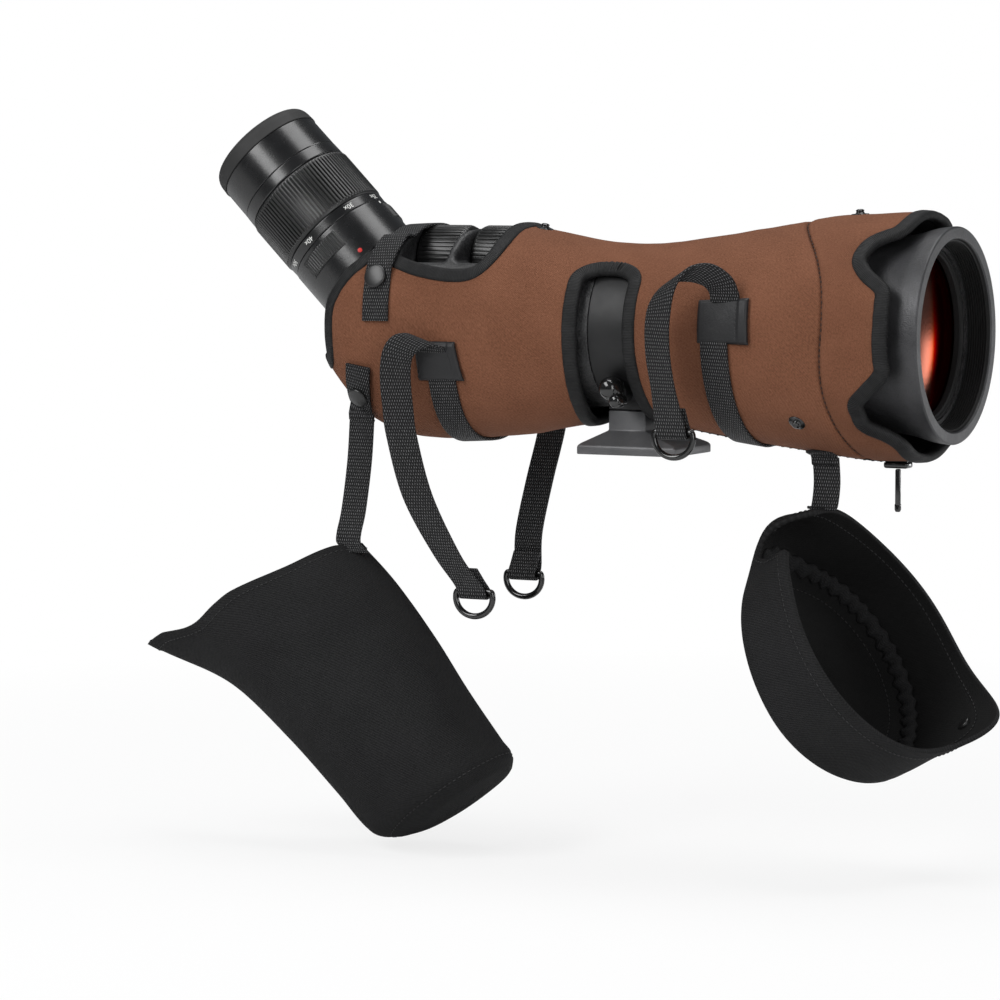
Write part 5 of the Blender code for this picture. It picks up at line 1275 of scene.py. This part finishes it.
def cover_stitches():
    bm = bmesh.new()
    for side in (1, -1):
        def row(x, turns, lift, *thread):
            line = [skin(x, a if side > 0 else 180 - a, lift) for a in turns]
            stitch_row(bm, line, [Vector((0, -side, 0))] * len(line), *thread)
        for x0, _, a0, a1, _, columns in TABS.values():
            for dx in columns:
                row(x0 + dx, [a0 + (a1 - a0) * share for share in TAB_STITCH_RUN], 2.35, 2.4, 1.7, 0.3)
        for x in NECK_STITCH_X:
            row(x, NECK_STITCH_TURNS, 1.8, 2.2, 1.6, 0.3)
    piece("cover_stitches", bm, "thread", "scope", "webbing", sharp=STITCH_SHARP)
    sewn = bmesh.new()
    turns = [360 * k / SEAM_STITCH_STEPS for k in range(SEAM_STITCH_STEPS + 1)]
    line = [skin(seam(a) + 0.2, a, -0.95) for a in turns]
    stitch_row(sewn, line, [p - Vector((p.x, 0, AXIS_Z)) for p in line], 2.6, 1.7, 0.34)
    piece("seam_stitches", sewn, "seam_thread", "scope", "neoprene", sharp=STITCH_SHARP)


HOOD_SNAP_TURN = -38
COVER_STUDS = (            # piece, kind, X, degrees, lift and radius
    ("neck_snap", "cap", -123.6, 23.5, 3.1, 5.8), ("neck_snap_far", "cap", -123.6, 156.5, 3.1, 5.8),
    ("hood_tab_snap", "cap", HOOD_TAB_X + HOOD_TAB_LEAN * (HOOD_SNAP_TURN - HOOD_TAB_END), HOOD_SNAP_TURN, 2.9, 5.3),
    ("stud_back_top", "ball", -53.5, 90, 0, 4.2), ("stud_front_top", "ball", 112, 90, 0, 4.2),
    ("stud_side_near", "ball", 97, -45, 0, 4.2), ("stud_side_far", "ball", 97, 225, 0, 4.2),
)


def studs():
    for name, kind, x, a, lift, radius in COVER_STUDS:
        stud(name, kind, skin(x, a, lift), skin_normal(x, a), radius)


# Hoods
def hood_shell(name, bm, body):
    shell = piece(name, bm, "hood_cloth", body, "black_cloth", body, sharp=CLOTH_SHARP, lining="lining")
    walled(shell, HOOD_WALL, lining=True)


EYE_HOOD_RIM = 45          # the mouth's wave runs out over this
EYE_HOOD_SAG = 1.2
EYE_HOOD_WALL_SHARE = 0.92  # the rest of the sheet closes the end
EYE_HOOD_DOME = 3
EYE_HOOD_STRAP_TURN = -17


def eyepiece_hood():
    fall = radians(EYE_HOOD_FALL)
    axis = Vector((cos(fall), 0, -sin(fall)))
    across = Vector((sin(fall), 0, cos(fall)))
    pivot = hood_pivot()
    mouth = Vector((EYE_HOOD_MOUTH[0], pivot.y, EYE_HOOD_MOUTH[1]))
    end = EYE_HOOD_SECTIONS[-1][0]

    def spot(d, turn, inset=0, shrink=1):
        slant, half, middle, deep = station(EYE_HOOD_SECTIONS, d)
        u, v = cos(turn), sin(turn)
        rim = 1 - step_up(d, 0, EYE_HOOD_RIM)
        cut_back, = station(EYE_HOOD_WAVE, u)
        beak = across * (EYE_HOOD_BEAK * rim * step_up(-u, 0.86, 1))
        sag = EYE_HOOD_SAG * flutter(d * 0.03, u * 1.3, v * 1.3)
        reach = (across + axis * slant) * ((half - inset) * shrink * u)
        swell = Vector((0, (deep - inset + sag) * shrink * v, 0))
        return mouth + axis * (d + cut_back * rim) + across * middle + reach - beak + swell

    def place(u, v):
        turn = FULL_TURN * v
        if u <= EYE_HOOD_WALL_SHARE:
            d = u / EYE_HOOD_WALL_SHARE * end
            hem = HOOD_HEM * (1 - step_up(d, 5.2, 6.2))
            return spot(d, turn, 0.7 * bell(d, EYE_HOOD_SEAM, 1.2) - hem)
        t = (u - EYE_HOOD_WALL_SHARE) / (1 - EYE_HOOD_WALL_SHARE)
        return spot(end, turn, 0, 1 - t) + axis * (EYE_HOOD_DOME * sin(t * pi / 2))
    bm = joined(laid(130, 120, place, (165, 260)))
    hood_shell("eyepiece_sock", bm, "eyepiece_hood")
    thread = bmesh.new()
    turns = [FULL_TURN * k / 160 for k in range(161)]
    for d, inset in ((5, -0.55), (EYE_HOOD_SEAM, 0.35)):
        line = [spot(d, t, inset) for t in turns]
        stitch_row(thread, line, [(p - mouth - axis * d).normalized() for p in line], *HOOD_STITCH)
    piece("eyepiece_sock_stitches", thread, "thread", "eyepiece_hood", "black_cloth", sharp=STITCH_SHARP)
    lip = [spot(d, radians(EYE_HOOD_STRAP_TURN), -1.6) for d in (-1, 4, 8.5)]
    route = [pivot + Vector(way) for way in ((0, 0, 0.6), (-1.5, 0, -22), (-4, -1.5, -46))]
    route += [lip[0] + Vector((0, 0.5, 5)), *lip]
    line = strap_line([(p, ACROSS) for p in route], 14)
    strap("eyepiece_sock_strap", line, HOOD_STRAP_WIDTH, "eyepiece_hood", "eyepiece_hood_strap")


OBJ_HOOD_TONGUES = (       # degrees from the top, spread and length of the rim's tongues, run forward and upward
    (0, 32, 8, 0.6, 0.9), (143, 26, 18, 1, -0.4),
)
OBJ_HOOD_OVAL = 1.03
OBJ_HOOD_WALL_SHARE = 0.62  # the rest of the sheet closes the back
OBJ_HOOD_DOME = 1.5
OBJ_SNAP_AT = (8, 143)     # depth and degrees
CASING_DEPTH = 31.5
CASING_HALF = 3.4
CASING_HIGH = 4.2
CASING_PLEATS = 46
CASING_RUFFLE = 0.9


def objective_hood():
    tilt, yaw = radians(OBJ_HOOD_TILT), radians(OBJ_HOOD_YAW)
    face = Vector((cos(tilt) * cos(yaw), -cos(tilt) * sin(yaw), sin(tilt)))
    side = Vector((sin(yaw), cos(yaw), 0))
    up = face.cross(side)
    centre, pivot = Vector(OBJ_HOOD_MIDDLE), Vector(OBJ_HOOD_TOP)

    def tongues(degrees):
        out = Vector()
        for middle, spread, length, forward, upward in OBJ_HOOD_TONGUES:
            out += (face * forward + up * upward) * (length * bell(wrapped(degrees - middle), 0, spread))
        return out

    def spot(depth, degrees, inset=0, shrink=1):
        """A point of the wall: its rim is cut back by the notch beside the strap."""
        turn = wrapped(degrees)
        notch, = station(OBJ_HOOD_NOTCH, turn)
        depth = notch + depth * (1 - notch / OBJ_HOOD_DEPTH)
        grow, reach = station(OBJ_HOOD_SECTIONS, depth)
        arch = OBJ_HOOD_ARCH * bell(turn, -8, 19) * sin(pi * depth / OBJ_HOOD_DEPTH)
        arch += OBJ_HOOD_CORNER * bell(turn, -41, 13) * (1 - step_up(depth, 0, 20))
        belly = OBJ_HOOD_BELLY * bell(turn, -125, 48) * shrink * depth / OBJ_HOOD_DEPTH
        r = (OBJ_HOOD_R + grow - inset + arch) * shrink
        t = radians(degrees)
        soft = 0.5 * flutter(cos(t) * 1.6, sin(t) * 1.6, depth * 0.06)
        ring = up * (r * OBJ_HOOD_OVAL * cos(t)) + side * (r * sin(t))
        return centre - face * (depth + belly) + ring * (1 + soft * 0.01) + tongues(degrees) * reach

    def place(u, v):
        a = 360 * v
        if u <= OBJ_HOOD_WALL_SHARE:
            depth = u / OBJ_HOOD_WALL_SHARE * OBJ_HOOD_DEPTH
            return spot(depth, a, -HOOD_HEM * (1 - step_up(depth, 5.2, 6)))
        t = (u - OBJ_HOOD_WALL_SHARE) / (1 - OBJ_HOOD_WALL_SHARE)
        return spot(OBJ_HOOD_DEPTH, a, 0, 1 - t) - face * (OBJ_HOOD_DOME * sin(t * pi / 2))
    bm = joined(laid(72, 216, place, (90, 360)))
    hood_shell("objective_cap", bm, "objective_hood")

    def casing(u, v):
        ruffle = CASING_RUFFLE * sin(u * FULL_TURN * CASING_PLEATS + 2 * flutter(u * 20, 0, 0))
        around = FULL_TURN * v
        depth = CASING_DEPTH + CASING_HALF * cos(around) + ruffle * 0.6
        return spot(depth, 360 * u, HOOD_WALL + 0.6 + (CASING_HIGH + ruffle) * (0.5 + 0.5 * sin(around)))
    ring = joined(laid(368, 10, casing, (360, 24)))
    piece("elastic_casing", ring, "hood_cloth", "objective_hood", "black_cloth", sharp=CLOTH_SHARP)
    depth, a = OBJ_SNAP_AT
    inside = spot(depth, a, HOOD_WALL + 0.3)
    stud("objective_cap_snap", "cap", inside, centre - face * depth - inside, 3.6, "objective_hood")
    thread = bmesh.new()
    turns = [360 * k / 180 for k in range(181)]
    for depth, inset in ((5, -0.6), (5, HOOD_WALL + 0.1), (35.7, 12)):
        line = [spot(depth, a, inset) for a in turns]
        stitch_row(thread, line, [(p - centre + face * depth).normalized() for p in line], *HOOD_STITCH)
    piece("objective_cap_stitches", thread, "thread", "objective_hood", "black_cloth", sharp=STITCH_SHARP)
    anchor = [skin(pivot.x, a, 0.9) for a in (-72, -75, -78)]
    anchor += [pivot + Vector(curl) for curl in ((0, -1.4, 0.6), (0, -0.9, -1.8), (0, 0.8, -2.4))]
    lip = [spot(depth, 0, -0.9) for depth in (0.3, 2)]
    route = [pivot + Vector((0, 0, 1.2)), pivot.lerp(lip[0], 0.5) + Vector((1, 0, 0)), *lip]
    line = strap_line([(p, ACROSS) for p in anchor], 6)
    strap("objective_strap_anchor", line, HOOD_STRAP_WIDTH, "scope")
    line = strap_line([(p, ACROSS) for p in route], 18)
    strap("objective_cap_strap", line, HOOD_STRAP_WIDTH, "objective_hood", "objective_hood_strap")


# Studio
FLOOR_Z = -196
CAMERA_AT = (0.94416, -2.00621, 0.15943)
CAMERA_LOOK = (-0.45246, 0.88801, -0.08194)
CAMERA_LENS = 165.6
MIDDLE = (0, 0, 0.03)
LAMPS = (                  # name, place, target and size in metres, watts, roll
    ("key", (-0.75, -1.35, 1.15), MIDDLE, (0.7, 1.6), 27, 45),
    ("fill", (1.5, -1.3, 0.5), MIDDLE, (0.9, 1.2), 14, 0),
    ("top", (0.1, 0.25, 1.5), MIDDLE, (1.4, 0.8), 16, 0),
    ("lens_glow", (0.585, 1.12, -0.066), (0.147, 0, 0.055), (0.16, 0.12), 0.50, 0),
    ("rim", (1.30, 0.80, 0.25), (0.16, 0, 0.06), (0.5, 0.5), 5, 0),
)


def floor():
    finish = Finish("pale_floor", 0.9, Base_Color=(0.82, 0.82, 0.82, 1))
    white = finish.add("Emission", {"Color": (1, 1, 1, 1), "Strength": 1})
    away = finish.add("VectorMath", {0: finish.coords()}, operation="LENGTH").outputs["Value"]
    fade = finish.add("MapRange", {"Value": away, "From Min": 0.25, "From Max": 0.9, "To Min": 0.8, "To Max": 1})
    share = finish.sum(finish.add("LightPath", {}).outputs["Is Camera Ray"], fade.outputs["Result"], "MULTIPLY")
    shown = finish.add("MixShader", {0: share})
    finish.tree.links.new(finish.shader.outputs["BSDF"], shown.inputs[1])
    finish.tree.links.new(white.outputs["Emission"], shown.inputs[2])
    finish.tree.links.new(shown.outputs["Shader"], finish.tree.nodes["Material Output"].inputs["Surface"])
    bm = bmesh.new()
    bmesh.ops.create_grid(bm, x_segments=4, y_segments=4, size=6)
    bmesh.ops.translate(bm, vec=(0, 0, FLOOR_Z * MM), verts=bm.verts)
    mesh = bpy.data.meshes.new("floor")
    bm.to_mesh(mesh)
    bm.free()
    mesh.materials.append(finish.material)
    plane = bpy.data.objects.new("floor", mesh)
    bpy.context.scene.collection.objects.link(plane)


def lamp(name, spot, target, size, watts, roll):
    light = bpy.data.lights.new(name, "AREA")
    light.shape = "RECTANGLE"
    light.size, light.size_y = size
    light.energy = watts
    obj = bpy.data.objects.new(name, light)
    obj.location = spot
    aim = (Vector(target) - Vector(spot)).to_track_quat("-Z", "Y").to_matrix()
    obj.rotation_euler = (aim @ Matrix.Rotation(radians(roll), 3, "Z")).to_euler()
    bpy.context.scene.collection.objects.link(obj)


def studio():
    scene = bpy.context.scene
    scene.view_settings.view_transform = "Standard"
    world = bpy.data.worlds.new("studio")
    scene.world = world
    world.use_nodes = True
    nodes, links = world.node_tree.nodes, world.node_tree.links
    ground = nodes["Background"]
    ground.inputs["Color"].default_value = (0.9, 0.95, 1, 1)
    ground.inputs["Strength"].default_value = 0.13
    white = nodes.new("ShaderNodeBackground")
    white.inputs["Color"].default_value = (1, 1, 1, 1)
    white.inputs["Strength"].default_value = 1
    path, pick = nodes.new("ShaderNodeLightPath"), nodes.new("ShaderNodeMixShader")
    links.new(path.outputs["Is Camera Ray"], pick.inputs[0])
    links.new(ground.outputs["Background"], pick.inputs[1])
    links.new(white.outputs["Background"], pick.inputs[2])
    links.new(pick.outputs["Shader"], nodes["World Output"].inputs["Surface"])
    for row in LAMPS:
        lamp(*row)
    camera = bpy.data.cameras.new("camera")
    camera.lens = CAMERA_LENS
    camera.sensor_width = 36
    camera.clip_end = 50
    eye = bpy.data.objects.new("camera", camera)
    eye.location = CAMERA_AT
    eye.rotation_euler = Vector(CAMERA_LOOK).to_track_quat("-Z", "Y").to_euler()
    scene.collection.objects.link(eye)
    scene.camera = eye


paint_cad()
cover_rear()
cover_front()
bindings()
bands()
tabs()
carrying_straps()
housing()
drums()
eyepiece()
sunshade()
objective()
collar()
zip_run()
studs()
cover_stitches()
eyepiece_hood()
objective_hood()
floor()
studio()
